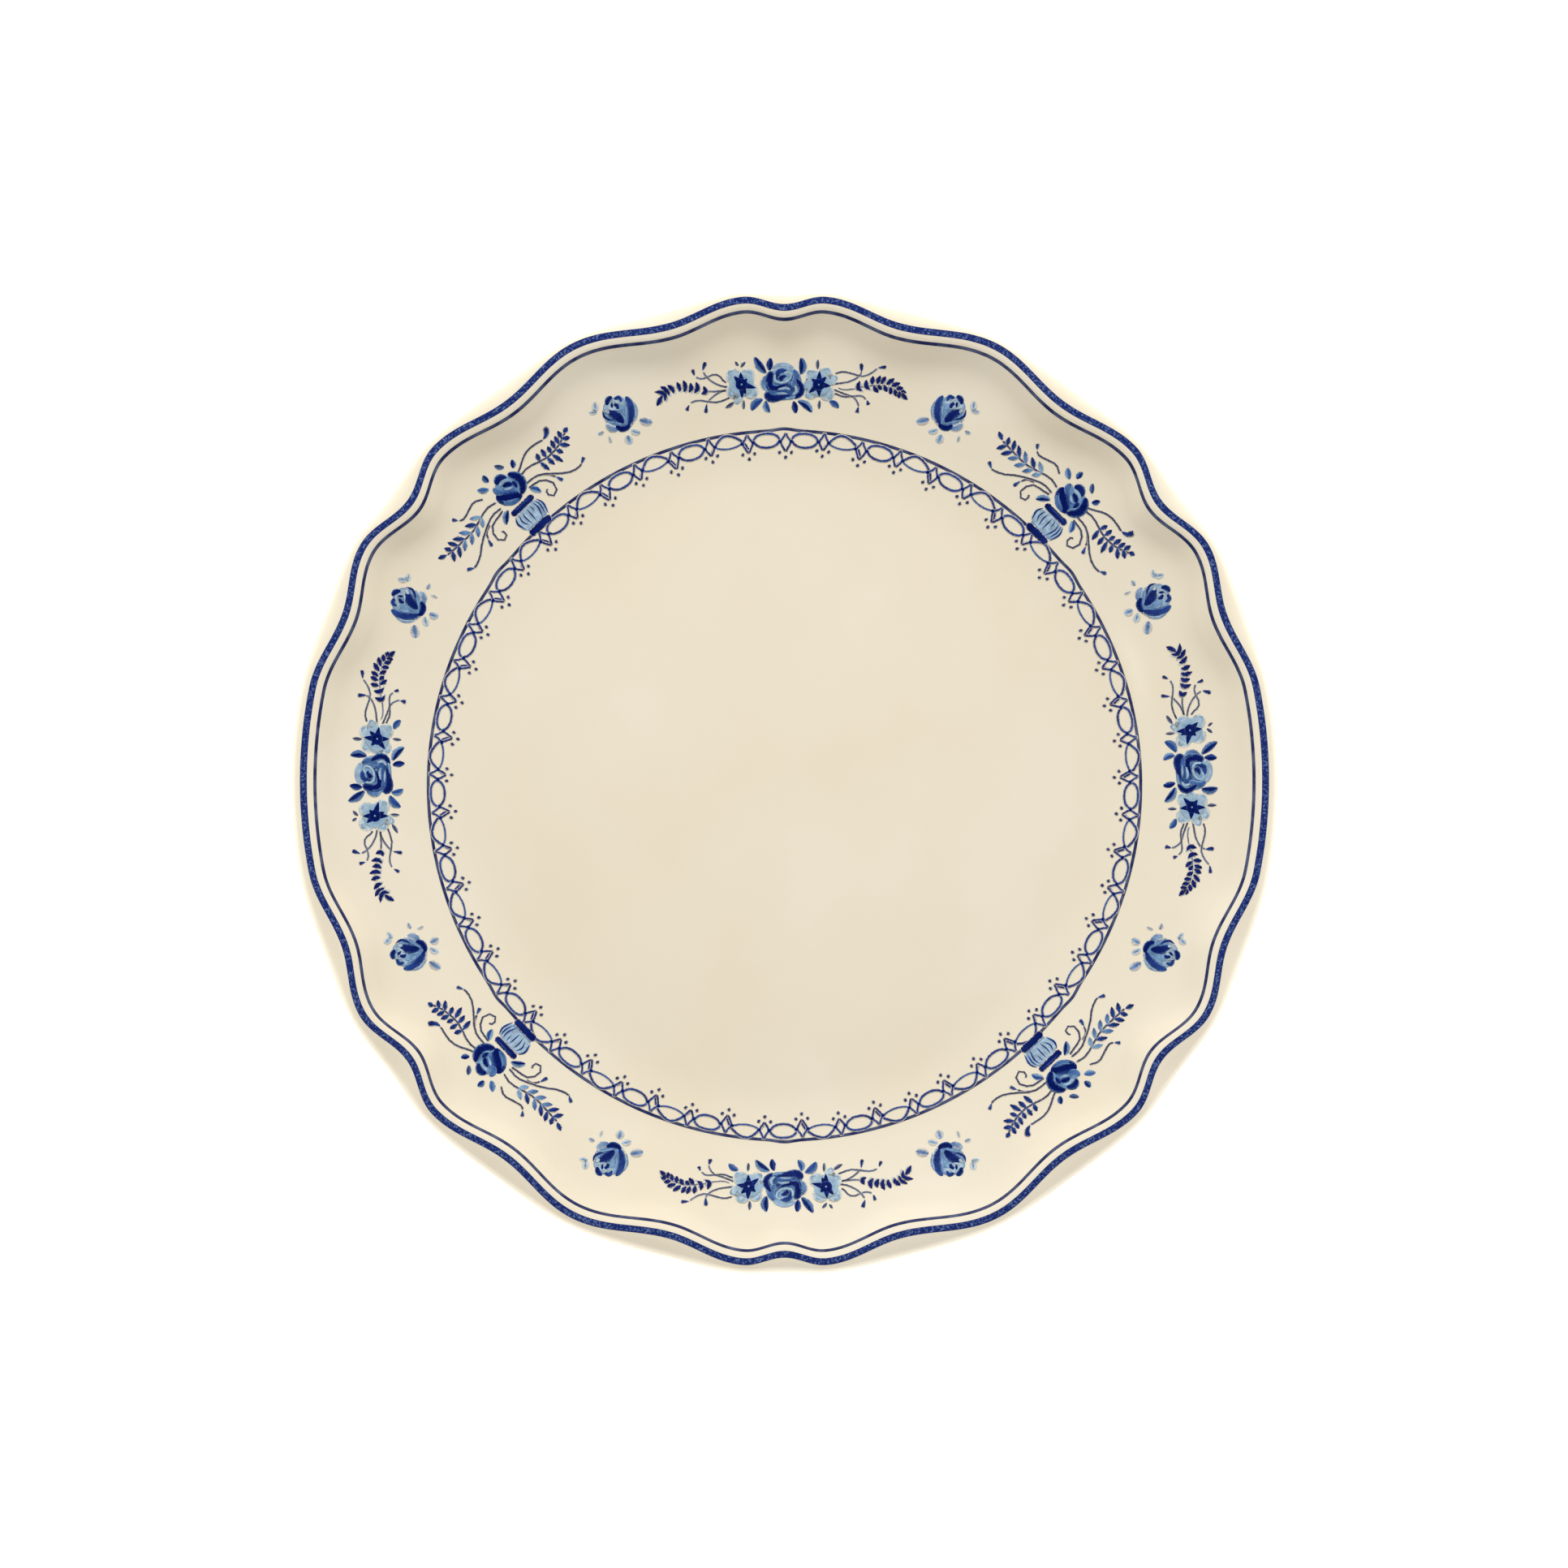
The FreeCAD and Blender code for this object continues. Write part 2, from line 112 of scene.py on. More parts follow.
def set_ramp(ramp_node, stops: list[tuple[float, tuple[float, float, float, float]]]) -> None:
    """Fills a colour ramp.

    Args:
        ramp_node: The ramp's node.
        stops: Places from 0 to 1, in order, with their linear colours.
    """
    elements = ramp_node.color_ramp.elements
    while len(elements) < len(stops):
        elements.new(0.5)
    for element, (place, colour) in zip(elements, stops):
        element.position = place
        element.color = colour


def add_noise(tree, place, size: float, detail: float):
    """Adds a noise with a real size.

    Args:
        tree: The material's node tree.
        place: Its texture coordinate node.
        size: The pattern's size in metres.
        detail: How much finer structure it has.

    Returns:
        The noise's node.
    """
    return add_node(tree, "ShaderNodeTexNoise", {"Scale": 1.0 / size, "Detail": detail},
        {"Vector": (place, "Object")},)


def add_glazed_surface(tree, output, colour, finish) -> None:
    """Adds a glazed surface and joins it to the material's output.

    Args:
        tree: The material's node tree.
        output: Its output node.
        colour: The (node, output socket) pair that colours the surface.
        finish: The finish whose roughness and refraction it takes.
    """
    surface = add_node(
        tree, "ShaderNodeBsdfPrincipled", {"IOR": finish.ior, "Roughness": finish.roughness},
        {"Base Color": colour},
    )
    tree.links.new(surface.outputs["BSDF"], output.inputs["Surface"])


def cream_colour(tree, place, cream: str, cloud: str, size: float):
    """Adds the cream ground's faint clouding, the same on the glaze and round every mark.

    Args:
        tree: The material's node tree.
        place: Its texture coordinate node.
        cream: The ground's colour.
        cloud: The clouds' colour.
        size: The clouds' size in metres.

    Returns:
        The node whose colour is the ground's.
    """
    clouds = add_noise(tree, place, size, 3.0)
    colour = add_node(tree, "ShaderNodeValToRGB", links={"Fac": (clouds, "Fac")})
    set_ramp(colour, [(0.35, linear(cream)), (0.7, linear(cloud))])
    return colour


@dataclass(frozen=True)
class CreamGlaze:
    """Clear glaze over a cream earthenware body, dipped and glost fired.

    It gives the eye a smooth, warm surface with a soft shine and very faint clouding.
    """

    cream: str = "#f0e4cb"
    cloud: str = "#f3e9d4"
    cloud_size: float = 0.045
    roughness: float = 0.16
    ior: float = 1.5

    def material(self):
        """Builds the glaze's material and returns it."""
        material, tree, output = new_material("cream_glaze")
        place = add_node(tree, "ShaderNodeTexCoord")
        colour = cream_colour(tree, place, self.cream, self.cloud, self.cloud_size)
        add_glazed_surface(tree, output, (colour, "Color"), self)
        return material


@dataclass(frozen=True)
class BareClay:
    """Fired white earthenware, ground flat on the foot and left without glaze.

    It gives the eye a chalky, matt ring with a fine grain and a few grey rub marks.
    """

    clay: str = "#d9cdb6"
    rubbed: str = "#b8ab94"
    grain_size: float = 0.0006
    rub_size: float = 0.03
    roughness: float = 0.85

    def material(self):
        """Builds the clay's material and returns it."""
        material, tree, output = new_material("bare_clay")
        place = add_node(tree, "ShaderNodeTexCoord")
        grain = add_noise(tree, place, self.grain_size, 4.0)
        rub = add_noise(tree, place, self.rub_size, 6.0)
        colour = add_node(tree, "ShaderNodeValToRGB", links={"Fac": (rub, "Fac")})
        set_ramp(colour, [(0.45, linear(self.clay)), (0.8, linear(self.rubbed))])
        bump = add_node(tree, "ShaderNodeBump", {"Strength": 0.4, "Distance": 0.1 * MM},
            {"Height": (grain, "Fac")},)
        surface = add_node(
            tree, "ShaderNodeBsdfPrincipled", {"Roughness": self.roughness},
            {"Base Color": (colour, "Color"), "Normal": (bump, "Normal")},
        )
        tree.links.new(surface.outputs["BSDF"], output.inputs["Surface"])
        return material


@dataclass(frozen=True)
class CobaltWash:
    """Cobalt oxide in thin and thick washes, as a transfer for china carries it.

    It gives the eye soft-edged strokes: each fades into what lies under it at its rim, has
    grain from the brush and pools a little darker here and there. The ink and how near the
    rim a point is are in the attribute "ink", what lies under in "under", and how far the
    rim fades in "edge".
    """

    ground: CreamGlaze = CreamGlaze()
    grain_size: float = 0.0004
    pool_size: float = 0.0013
    roughness: float = 0.16
    ior: float = 1.5

    def material(self):
        """Builds the wash's material and returns it."""
        material, tree, output = new_material("cobalt_wash")
        place = add_node(tree, "ShaderNodeTexCoord")
        ink = add_node(tree, "ShaderNodeAttribute", attribute_name="ink")
        under = add_node(tree, "ShaderNodeAttribute", attribute_name="under")
        edge = add_node(tree, "ShaderNodeAttribute", attribute_name="edge")
        softness = add_node(tree, "ShaderNodeSeparateColor", links={"Color": (edge, "Color")})
        pools = add_noise(tree, place, self.pool_size, 3.0)
        wash = add_node(tree, "ShaderNodeMapRange",
            {"From Min": 0.3, "From Max": 0.7, "To Min": 0.72, "To Max": 1.3},
            {"Value": (pools, "Fac")},)
        pooled = add_node(
            tree, "ShaderNodeMix", {0: 1.0}, {6: (ink, "Color"), 7: (wash, "Result")},
            data_type="RGBA", blend_type="MULTIPLY",
        )
        grain = add_noise(tree, place, self.grain_size, 1.0)
        uneven = add_node(tree, "ShaderNodeMapRange",
            {"From Min": 0.25, "From Max": 0.75, "To Min": -0.2, "To Max": 0.2},
            {"Value": (grain, "Fac")},)
        rim = add_node(tree, "ShaderNodeMath", links={0: (ink, "Alpha"), 1: (uneven, "Result")},
            operation="ADD",)
        start = add_node(
            tree, "ShaderNodeMath", {0: 1.0}, {1: (softness, "Red")}, operation="SUBTRACT",
        )
        fade = add_node(tree, "ShaderNodeMapRange", {"From Max": 1.12},
            {"Value": (rim, "Value"), "From Min": (start, "Value")},
            interpolation_type="SMOOTHSTEP",)
        cream = cream_colour(tree, place, self.ground.cream, self.ground.cloud,
            self.ground.cloud_size)
        below = add_node(tree, "ShaderNodeMix",
            links={0: (under, "Alpha"), 6: (cream, "Color"), 7: (under, "Color")},
            data_type="RGBA",)
        colour = add_node(tree, "ShaderNodeMix",
            links={0: (fade, "Result"), 6: (pooled, 2), 7: (below, 2)}, data_type="RGBA",)
        add_glazed_surface(tree, output, (colour, 2), self)
        return material


@dataclass(frozen=True)
class SpeckledBand:
    """Cobalt printed through a fine screen for the broad edge band.

    It gives the eye a strong blue that thins into light grains and darkens at both sides.
    """

    thick: str = "#1c2c6c"
    thin: str = "#6f86b4"
    rim: str = "#26356f"
    grain_size: float = 0.0005
    roughness: float = 0.16
    ior: float = 1.5

    def material(self):
        """Builds the band's material and returns it."""
        material, tree, output = new_material("speckled_cobalt_band")
        place = add_node(tree, "ShaderNodeTexCoord")
        side = add_node(tree, "ShaderNodeAttribute", attribute_name="side")
        grain = add_noise(tree, place, self.grain_size, 2.0)
        speckle = add_node(tree, "ShaderNodeValToRGB", links={"Fac": (grain, "Fac")})
        set_ramp(speckle, [(0.5, linear(self.thick)), (0.72, linear(self.thin))])
        away = add_node(tree, "ShaderNodeMath", links={0: (side, "Fac")}, operation="ABSOLUTE")
        fade = add_node(tree, "ShaderNodeMapRange", {"From Min": 0.62, "From Max": 1.0},
            {"Value": (away, "Value")},)
        colour = add_node(tree, "ShaderNodeMix", {7: linear(self.rim)},
            {0: (fade, "Result"), 6: (speckle, "Color")}, data_type="RGBA",)
        add_glazed_surface(tree, output, (colour, 2), self)
        return material


@dataclass(frozen=True)
class PrintedLine:
    """Dark slate-blue line of ceramic colour, drawn with a banding wheel.

    It gives the eye an even line whose strength swells and thins a little as it goes round.
    """

    thick: str = "#272f5c"
    thin: str = "#626a86"
    swell: float = 0.004
    roughness: float = 0.16
    ior: float = 1.5

    def material(self):
        """Builds the line's material and returns it."""
        material, tree, output = new_material("slate_blue_line")
        place = add_node(tree, "ShaderNodeTexCoord")
        flow = add_noise(tree, place, self.swell, 4.0)
        colour = add_node(tree, "ShaderNodeValToRGB", links={"Fac": (flow, "Fac")})
        set_ramp(colour, [(0.4, linear(self.thick)), (0.75, linear(self.thin))])
        add_glazed_surface(tree, output, (colour, "Color"), self)
        return material


# ------------------------------------------------------------------ the plate's form


def smooth_curve(knots: np.ndarray, at_knots: np.ndarray, at: np.ndarray) -> np.ndarray:
    """Reads a natural cubic spline through knots.

    Args:
        knots: One row for each knot.
        at_knots: The spline's parameter at each knot, rising.
        at: Parameters to read it at.

    Returns:
        One row for each parameter read.
    """
    count, gap = len(at_knots), np.diff(at_knots)
    system, right_side = np.eye(count), np.zeros_like(knots)
    for row in range(1, count - 1):
        system[row, row - 1:row + 2] = gap[row - 1], 2.0 * (gap[row - 1] + gap[row]), gap[row]
        after, before = knots[row + 1] - knots[row], knots[row] - knots[row - 1]
        right_side[row] = 6.0 * (after / gap[row] - before / gap[row - 1])
    bend = np.linalg.solve(system, right_side)
    here = np.clip(np.searchsorted(at_knots, at) - 1, 0, count - 2)
    span = gap[here][:, None]
    after, before = (at - at_knots[here])[:, None], (at_knots[here + 1] - at)[:, None]
    curve = (bend[here] * before**3 + bend[here + 1] * after**3) / (6.0 * span)
    curve += (knots[here] / span - bend[here] * span / 6.0) * before
    curve += (knots[here + 1] / span - bend[here + 1] * span / 6.0) * after
    return curve


def offset_section(stations: np.ndarray, distance: float) -> np.ndarray:
    """Moves a section's stations outwards, square to the section.

    Args:
        stations: Rows of radius, height and share of the rim's waves.
        distance: How far, in millimetres.

    Returns:
        The moved stations.
    """
    before = np.vstack([stations[:1], stations[:-1]])
    after = np.vstack([stations[1:], stations[-1:]])
    run, rise = (after - before)[:, 0], (after - before)[:, 1]
    run[0], rise[0] = 1.0, 0.0
    run[-1], rise[-1] = 0.0, -1.0
    length = np.hypot(run, rise)
    moved = stations.copy()
    moved[:, 0] -= distance * rise / length
    moved[:, 1] += distance * run / length
    return moved


@dataclass(frozen=True)
class PlateForm:
    """The plate's section and the waves of its rim, in millimetres, as the fired body has them."""

    crest_radius: float = 131.7
    crest_height: float = 24.0
    overhang: float = 3.5
    edge_drop: float = 4.6
    edge_wave_share: float = 0.3
    lip: float = 3.5
    cove_start: float = 112.0
    well_radius: float = 80.0
    floor_height: float = 7.0
    wall: float = 3.9
    foot_radius: float = 81.0
    foot_taper: float = 0.25
    foot_width: float = 2.6
    foot_depth: float = 2.9
    recess_slope: float = 2.1
    dry_height: float = 0.8
    glaze: float = 0.25
    turns: tuple[Point, ...] = (
        (0.0, 0.0), (11.0, 0.0), (20.4, -3.15), (29.0, 0.4), (36.6, -3.8), (43.6, 0.4),
        (53.6, -3.25), (64.4, 0.95), (75.6, -2.9), (85.1, 0.95), (90.0, -1.55),
    )
    marly: tuple[Point, ...] = (
        (0.0, 0.0), (0.10, 0.003), (0.25, 0.025), (0.42, 0.078), (0.60, 0.145), (0.80, 0.245),
    )
    cove: tuple[Point, ...] = (
        (0.0, 0.360), (0.27, 0.440), (0.50, 0.527), (0.70, 0.635), (0.86, 0.770), (1.0, 0.895),
    )
    lip_stations: tuple[Point, ...] = ((0.42, 0.968), (0.72, 0.993))
    edge: tuple[tuple[float, float, float], ...] = (
        (0.0, 0.0, 1.0), (0.42, 0.06, 0.73), (0.74, 0.28, 0.40), (0.94, 0.62, 0.11),
        (1.0, 1.0, 0.0), (0.88, 1.36, 0.0), (0.50, 1.62, 0.07),
    )
    heel: tuple[Point, ...] = ((2.6, 0.25), (1.1, 1.2))
    lip_spacing: float = 0.45
    heel_spacing: float = 0.9
    spacing: float = 1.9
    fine_from: Point = (126.0, 15.0)
    heel_within: Point = (86.0, 4.0)

    def wave(self, angle: np.ndarray) -> np.ndarray:
        """Gives the crest's offset from its radius.

        Args:
            angle: Angles in degrees.

        Returns:
            Offsets, eased from one turning point to the next.
        """
        quarter = np.abs((np.asarray(angle, float) + 90.0) % 180.0 - 90.0)
        places, offsets = np.array(self.turns).T
        here = np.clip(np.searchsorted(places, quarter) - 1, 0, len(places) - 2)
        share = (quarter - places[here]) / (places[here + 1] - places[here])
        ease = (1.0 - np.cos(np.pi * share)) / 2.0
        return offsets[here] + (offsets[here + 1] - offsets[here]) * ease

    def stations(self) -> np.ndarray:
        """Gives the fired body's outside, from the well's edge over the rim to the foot."""
        lip_radius, rise = self.crest_radius - self.lip, self.crest_height - self.floor_height
        runs = (
            (self.well_radius, self.cove_start, self.marly),
            (self.cove_start, lip_radius, self.cove),
            (lip_radius, self.crest_radius, self.lip_stations),
        )
        upper = []
        for start, end, table in runs:
            for out, up in table:
                radius = start + out * (end - start)
                share = np.clip((radius - self.cove_start) / (lip_radius - self.cove_start), 0.0,
                    1.0)
                height = self.floor_height + up * rise
                upper.append((radius, height, share * share * (3.0 - 2.0 * share)))
        least = self.edge_wave_share
        edge = [
            (self.crest_radius + out * self.overhang, self.crest_height - down * self.edge_drop,
             least + (1.0 - least) * follow)
            for out, down, follow in self.edge
        ]
        below = offset_section(np.array(upper), -self.wall)[-3:1:-1]
        under = self.floor_height - self.wall
        heel = [(self.foot_radius + out, under - down, 0.0) for out, down in self.heel]
        foot = [(self.foot_radius + self.foot_taper, self.dry_height, 0.0)]
        return np.vstack([upper, edge, below, heel, foot])

    def section(self, skin: float) -> np.ndarray:
        """Reads the outside finely, a skin's thickness out from the fired body.

        Args:
            skin: Distance from the fired body, in millimetres.

        Returns:
            Rows of radius, height and share of the waves, closer together round the lip.
        """
        stations = offset_section(self.stations(), skin)
        lengths = np.hypot(*np.diff(stations[:, :2], axis=0).T)
        places = np.concatenate([[0.0], np.cumsum(lengths)])
        cuts = [0.0]
        for start, end, radius, height in zip(places, places[1:], stations[:, 0], stations[:, 1]):
            on_lip = radius > self.fine_from[0] and height > self.fine_from[1]
            on_heel = radius < self.heel_within[0] and height < self.heel_within[1]
            spacing = self.lip_spacing if on_lip else self.heel_spacing if on_heel else self.spacing
            steps = max(1, math.ceil((end - start) / spacing))
            cuts += [start + (end - start) * (step + 1) / steps for step in range(steps)]
        return smooth_curve(stations, places, np.array(cuts))


class GlazedFace:
    """The glazed upper face as a height over the table, for laying prints on it."""

    def __init__(self, form: PlateForm) -> None:
        """Reads the face's section once.

        Args:
            form: The plate's form.
        """
        self.form = form
        rows = form.section(form.glaze)
        top = rows[:int(np.argmax(rows[:, 0])) + 1]
        self.radius, self.height, self.share = top.T

    def lay(self, plan: np.ndarray, lift: np.ndarray | float) -> np.ndarray:
        """Lays points on the face.

        Args:
            plan: Rows of X and Y in millimetres.
            lift: How far above the face each point stands, in millimetres.

        Returns:
            Rows of X, Y and Z in millimetres.
        """
        reach = np.hypot(plan[:, 0], plan[:, 1])
        wave = self.form.wave(np.degrees(np.arctan2(plan[:, 1], plan[:, 0])))
        base = reach.copy()
        for _ in range(40):
            base = reach - np.interp(base, self.radius, self.share) * wave
        height = np.interp(base, self.radius, self.height, left=self.height[0])
        return np.column_stack([plan, height + lift])


# ------------------------------------------------------------------ mesh work by hand


def deselect() -> None:
    """Leaves nothing selected."""
    if bpy.context.object and bpy.context.object.mode != "OBJECT":
        bpy.ops.object.mode_set(mode="OBJECT")
    bpy.ops.object.select_all(action="DESELECT")


def pick(*pieces) -> None:
    """Selects these pieces alone; the first is active."""
    deselect()
    for piece in pieces:
        piece.select_set(True)
    bpy.context.view_layer.objects.active = pieces[0]


def points_of(piece) -> np.ndarray:
    """Reads a mesh's vertices as rows, in millimetres."""
    flat = np.empty(len(piece.data.vertices) * 3, np.float32)
    piece.data.vertices.foreach_get("co", flat)
    return flat.reshape(-1, 3).astype(float) / MM


def place_points(piece, points: np.ndarray) -> None:
    """Writes a mesh's vertices from rows in millimetres."""
    piece.data.vertices.foreach_set("co", (points * MM).astype(np.float32).ravel())
    piece.data.update()


def apply_modifier(piece, kind: str, **settings) -> None:
    """Adds a modifier, sets it and applies it.

    Args:
        piece: The mesh object.
        kind: Blender's name of the modifier's type.
        settings: Its settings.
    """
    pick(piece)
    bpy.ops.object.modifier_add(type=kind)
    modifier = piece.modifiers[-1]
    for name, value in settings.items():
        setattr(modifier, name, value)
    bpy.ops.object.modifier_apply(modifier=modifier.name)


def paint(piece, name: str, rows: np.ndarray) -> None:
    """Stores a colour with alpha at every vertex.

    Args:
        piece: The mesh object.
        name: The attribute's name.
        rows: One row of red, green, blue and alpha for each vertex.
    """
    layer = piece.data.attributes.new(name, "FLOAT_COLOR", "POINT")
    layer.data.foreach_set("color", rows.astype(np.float32).ravel())


def finish_piece(piece, name: str, material, slot: str, *nodes: str) -> None:
    """Names and dresses a finished piece and puts it on the frame.

    Args:
        piece: The mesh object, with its place in its mesh.
        name: Its name.
        material: Its finish.
        slot: The record's material slot; not used.
        nodes: CAD nodes it stands for.
    """
    piece.name = name
    piece.data.name = name
    piece.data.materials.clear()
    piece.data.materials.append(material)
    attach(piece, "root")
    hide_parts(*nodes)
    LOG.info("%s: %d faces", name, len(piece.data.polygons))


@dataclass
class TurnedShell:
    """A closed shell turned on the plate's axis from a section that starts and ends there."""

    form: PlateForm
    steps: int = 576
    weld: float = 1e-6
    crease: float = 50.0

    def turn(self, section: np.ndarray):
        """Turns a section once round.

        Args:
            section: Rows of radius, height and share of the waves; both ends are on the axis.

        Returns:
            The mesh object, waved and smooth.
        """
        deselect()
        bpy.ops.mesh.primitive_circle_add(vertices=len(section), radius=0.1)
        shell = bpy.context.object
        bpy.ops.object.mode_set(mode="OBJECT")
        place_points(shell, np.column_stack([section[:, 0], np.zeros(len(section)), section[:, 1]]))
        bpy.ops.object.mode_set(mode="EDIT")
        bpy.ops.mesh.select_mode(type="EDGE")
        bpy.ops.mesh.select_all(action="DESELECT")
        bpy.ops.object.mode_set(mode="OBJECT")
        closing = {0, len(section) - 1}
        for edge in shell.data.edges:
            edge.select = set(edge.vertices) == closing
        bpy.ops.object.mode_set(mode="EDIT")
        bpy.ops.mesh.delete(type="EDGE_FACE")
        bpy.ops.mesh.select_all(action="SELECT")
        bpy.ops.mesh.spin(steps=self.steps, angle=2.0 * math.pi, center=(0, 0, 0), axis=(0, 0, 1))
        bpy.ops.mesh.select_all(action="SELECT")
        bpy.ops.mesh.remove_doubles(threshold=self.weld)
        bpy.ops.mesh.normals_make_consistent(inside=False)
        bpy.ops.object.mode_set(mode="OBJECT")
        self.follow_waves(shell, section)
        bpy.ops.object.shade_smooth_by_angle(angle=math.radians(self.crease))
        return shell

    def follow_waves(self, shell, section: np.ndarray) -> None:
        """Moves each ring of the shell with the waves of the rim.

        Args:
            shell: The turned mesh.
            section: The section it was turned from.
        """
        points = points_of(shell)
        reach = np.hypot(points[:, 0], points[:, 1])
        share = np.zeros(len(points))
        nearest = np.full(len(points), np.inf)
        for radius, height, follow in section:
            gap = np.hypot(reach - radius, points[:, 2] - height)
            share = np.where(gap < nearest, follow, share)
            nearest = np.minimum(gap, nearest)
        wave = self.form.wave(np.degrees(np.arctan2(points[:, 1], points[:, 0])))
        grown = np.where(reach > 1e-6, (reach + share * wave) / np.maximum(reach, 1e-6), 1.0)
        points[:, :2] *= grown[:, None]
        place_points(shell, points)


@dataclass
class GlazeSkins:
    """The clear glaze: over the whole outside down to the foot, and inside the foot ring."""

    form: PlateForm
    floor_rings: tuple[float, ...] = (0.0, 12.0, 26.0, 40.0, 54.0, 66.0, 75.0)
    inside_points: int = 24

    def build(self, finish) -> None:
        """Makes both skins.

        Args:
            finish: The glaze's material.
        """
        turner = TurnedShell(self.form)
        coat = turner.turn(self.coat_section())
        finish_piece(coat, "glaze_over_the_plate", finish, "clear_glaze", "glaze_coat")
        dish = TurnedShell(self.form, steps=288).turn(self.recess_section())
        finish_piece(dish, "glaze_in_the_foot", finish, "clear_glaze", "recess_glaze")

    def coat_section(self) -> np.ndarray:
        """Gives the coat's closed section: its outside, then back along the fired body."""
        outside = self.form.section(self.form.glaze)
        inside = self.form.stations()
        lengths = np.hypot(*np.diff(inside[:, :2], axis=0).T)
        places = np.concatenate([[0.0], np.cumsum(lengths)])
        inside = smooth_curve(inside, places, np.linspace(0.0, places[-1], self.inside_points))
        top = [(ring, outside[0, 1], 0.0) for ring in self.floor_rings]
        under = [(0.0, inside[0, 1], 0.0), (40.0, inside[0, 1], 0.0)]
        return np.vstack([top, outside, inside[::-1], under[::-1]])

    def recess_section(self) -> np.ndarray:
        """Gives the section of the skin inside the foot ring, from its under face up and back."""
        form = self.form
        wall = form.foot_radius - form.foot_width - form.foot_taper
        deep, dry = form.foot_depth, form.dry_height
        slope = math.hypot(form.recess_slope, deep - dry)
        shift = form.glaze * slope / (deep - dry)
        low = deep - form.glaze
        turn_in = wall - form.recess_slope * (low - dry) / (deep - dry)
        rows = [(0.0, low), (25.0, low), (50.0, low), (68.0, low), (turn_in - shift - 0.5, low)]
        rows += [(turn_in - shift - 0.1, low - 0.02), (turn_in - shift + 0.15, low - 0.16)]
        rows += [(wall - shift, dry), (wall, dry), (wall - form.recess_slope, deep), (40.0, deep),
            (0.0, deep)]
        return np.array([(radius, height, 0.0) for radius, height in rows])


# ------------------------------------------------------------------ brush strokes


class Ink(Enum):
    """Strengths of the cobalt wash, from the thickest to the thinnest, and the greys of stems."""

    NAVY = "#06175e"
    DEEP = "#15276c"
    ROYAL = "#28468c"
    COBALT = "#3c5f9b"
    STEEL = "#5073a5"
    DUSK = "#6e91b9"
    SKY = "#82a5c3"
    HAZE = "#96afc8"
    MIST = "#a8bfce"
    FOG = "#c0c9c9"
    SLATE = "#3c4363"
    STEM = "#6a7590"
    ASH = "#98a0a8"
    CREAM = "#eee1c8"


class Brush(Enum):
    """How a stroke's width runs from its start to its end."""

    LEAF = "pointed at both ends"
    PETAL = "blunt at both ends"
    DROP = "thin start and a fat round end"
    TAIL = "fat round start that thins to a point"
    LINE = "even, with round ends"
    BLOB = "an ellipse"

    def width(self, along: np.ndarray, end: float) -> np.ndarray:
        """Gives the share of the full width along the stroke.

        Args:
            along: Places from 0 at the start to 1 at the end.
            end: Length of a round end, as a share of the stroke's.

        Returns:
            Shares from 0 to 1.
        """
        if self is Brush.LEAF:
            share = np.sin(np.pi * along) ** 0.8
        elif self is Brush.PETAL:
            share = np.sin(np.pi * along) ** 0.42
        elif self is Brush.DROP:
            share = along**0.7 * np.sqrt(1.0 - along**5) / 0.83
        elif self is Brush.TAIL:
            share = (1.0 - along) ** 0.7 * np.sqrt(1.0 - (1.0 - along) ** 5) / 0.83
        elif self is Brush.LINE:
            near = np.clip(np.minimum(along, 1.0 - along) / end, 0.0, 1.0)
            share = np.sqrt(1.0 - (1.0 - near) ** 2)
        else:
            share = np.sqrt(np.maximum(0.0, 1.0 - (2.0 * along - 1.0) ** 2))
        return np.clip(share, 0.05, 1.0)


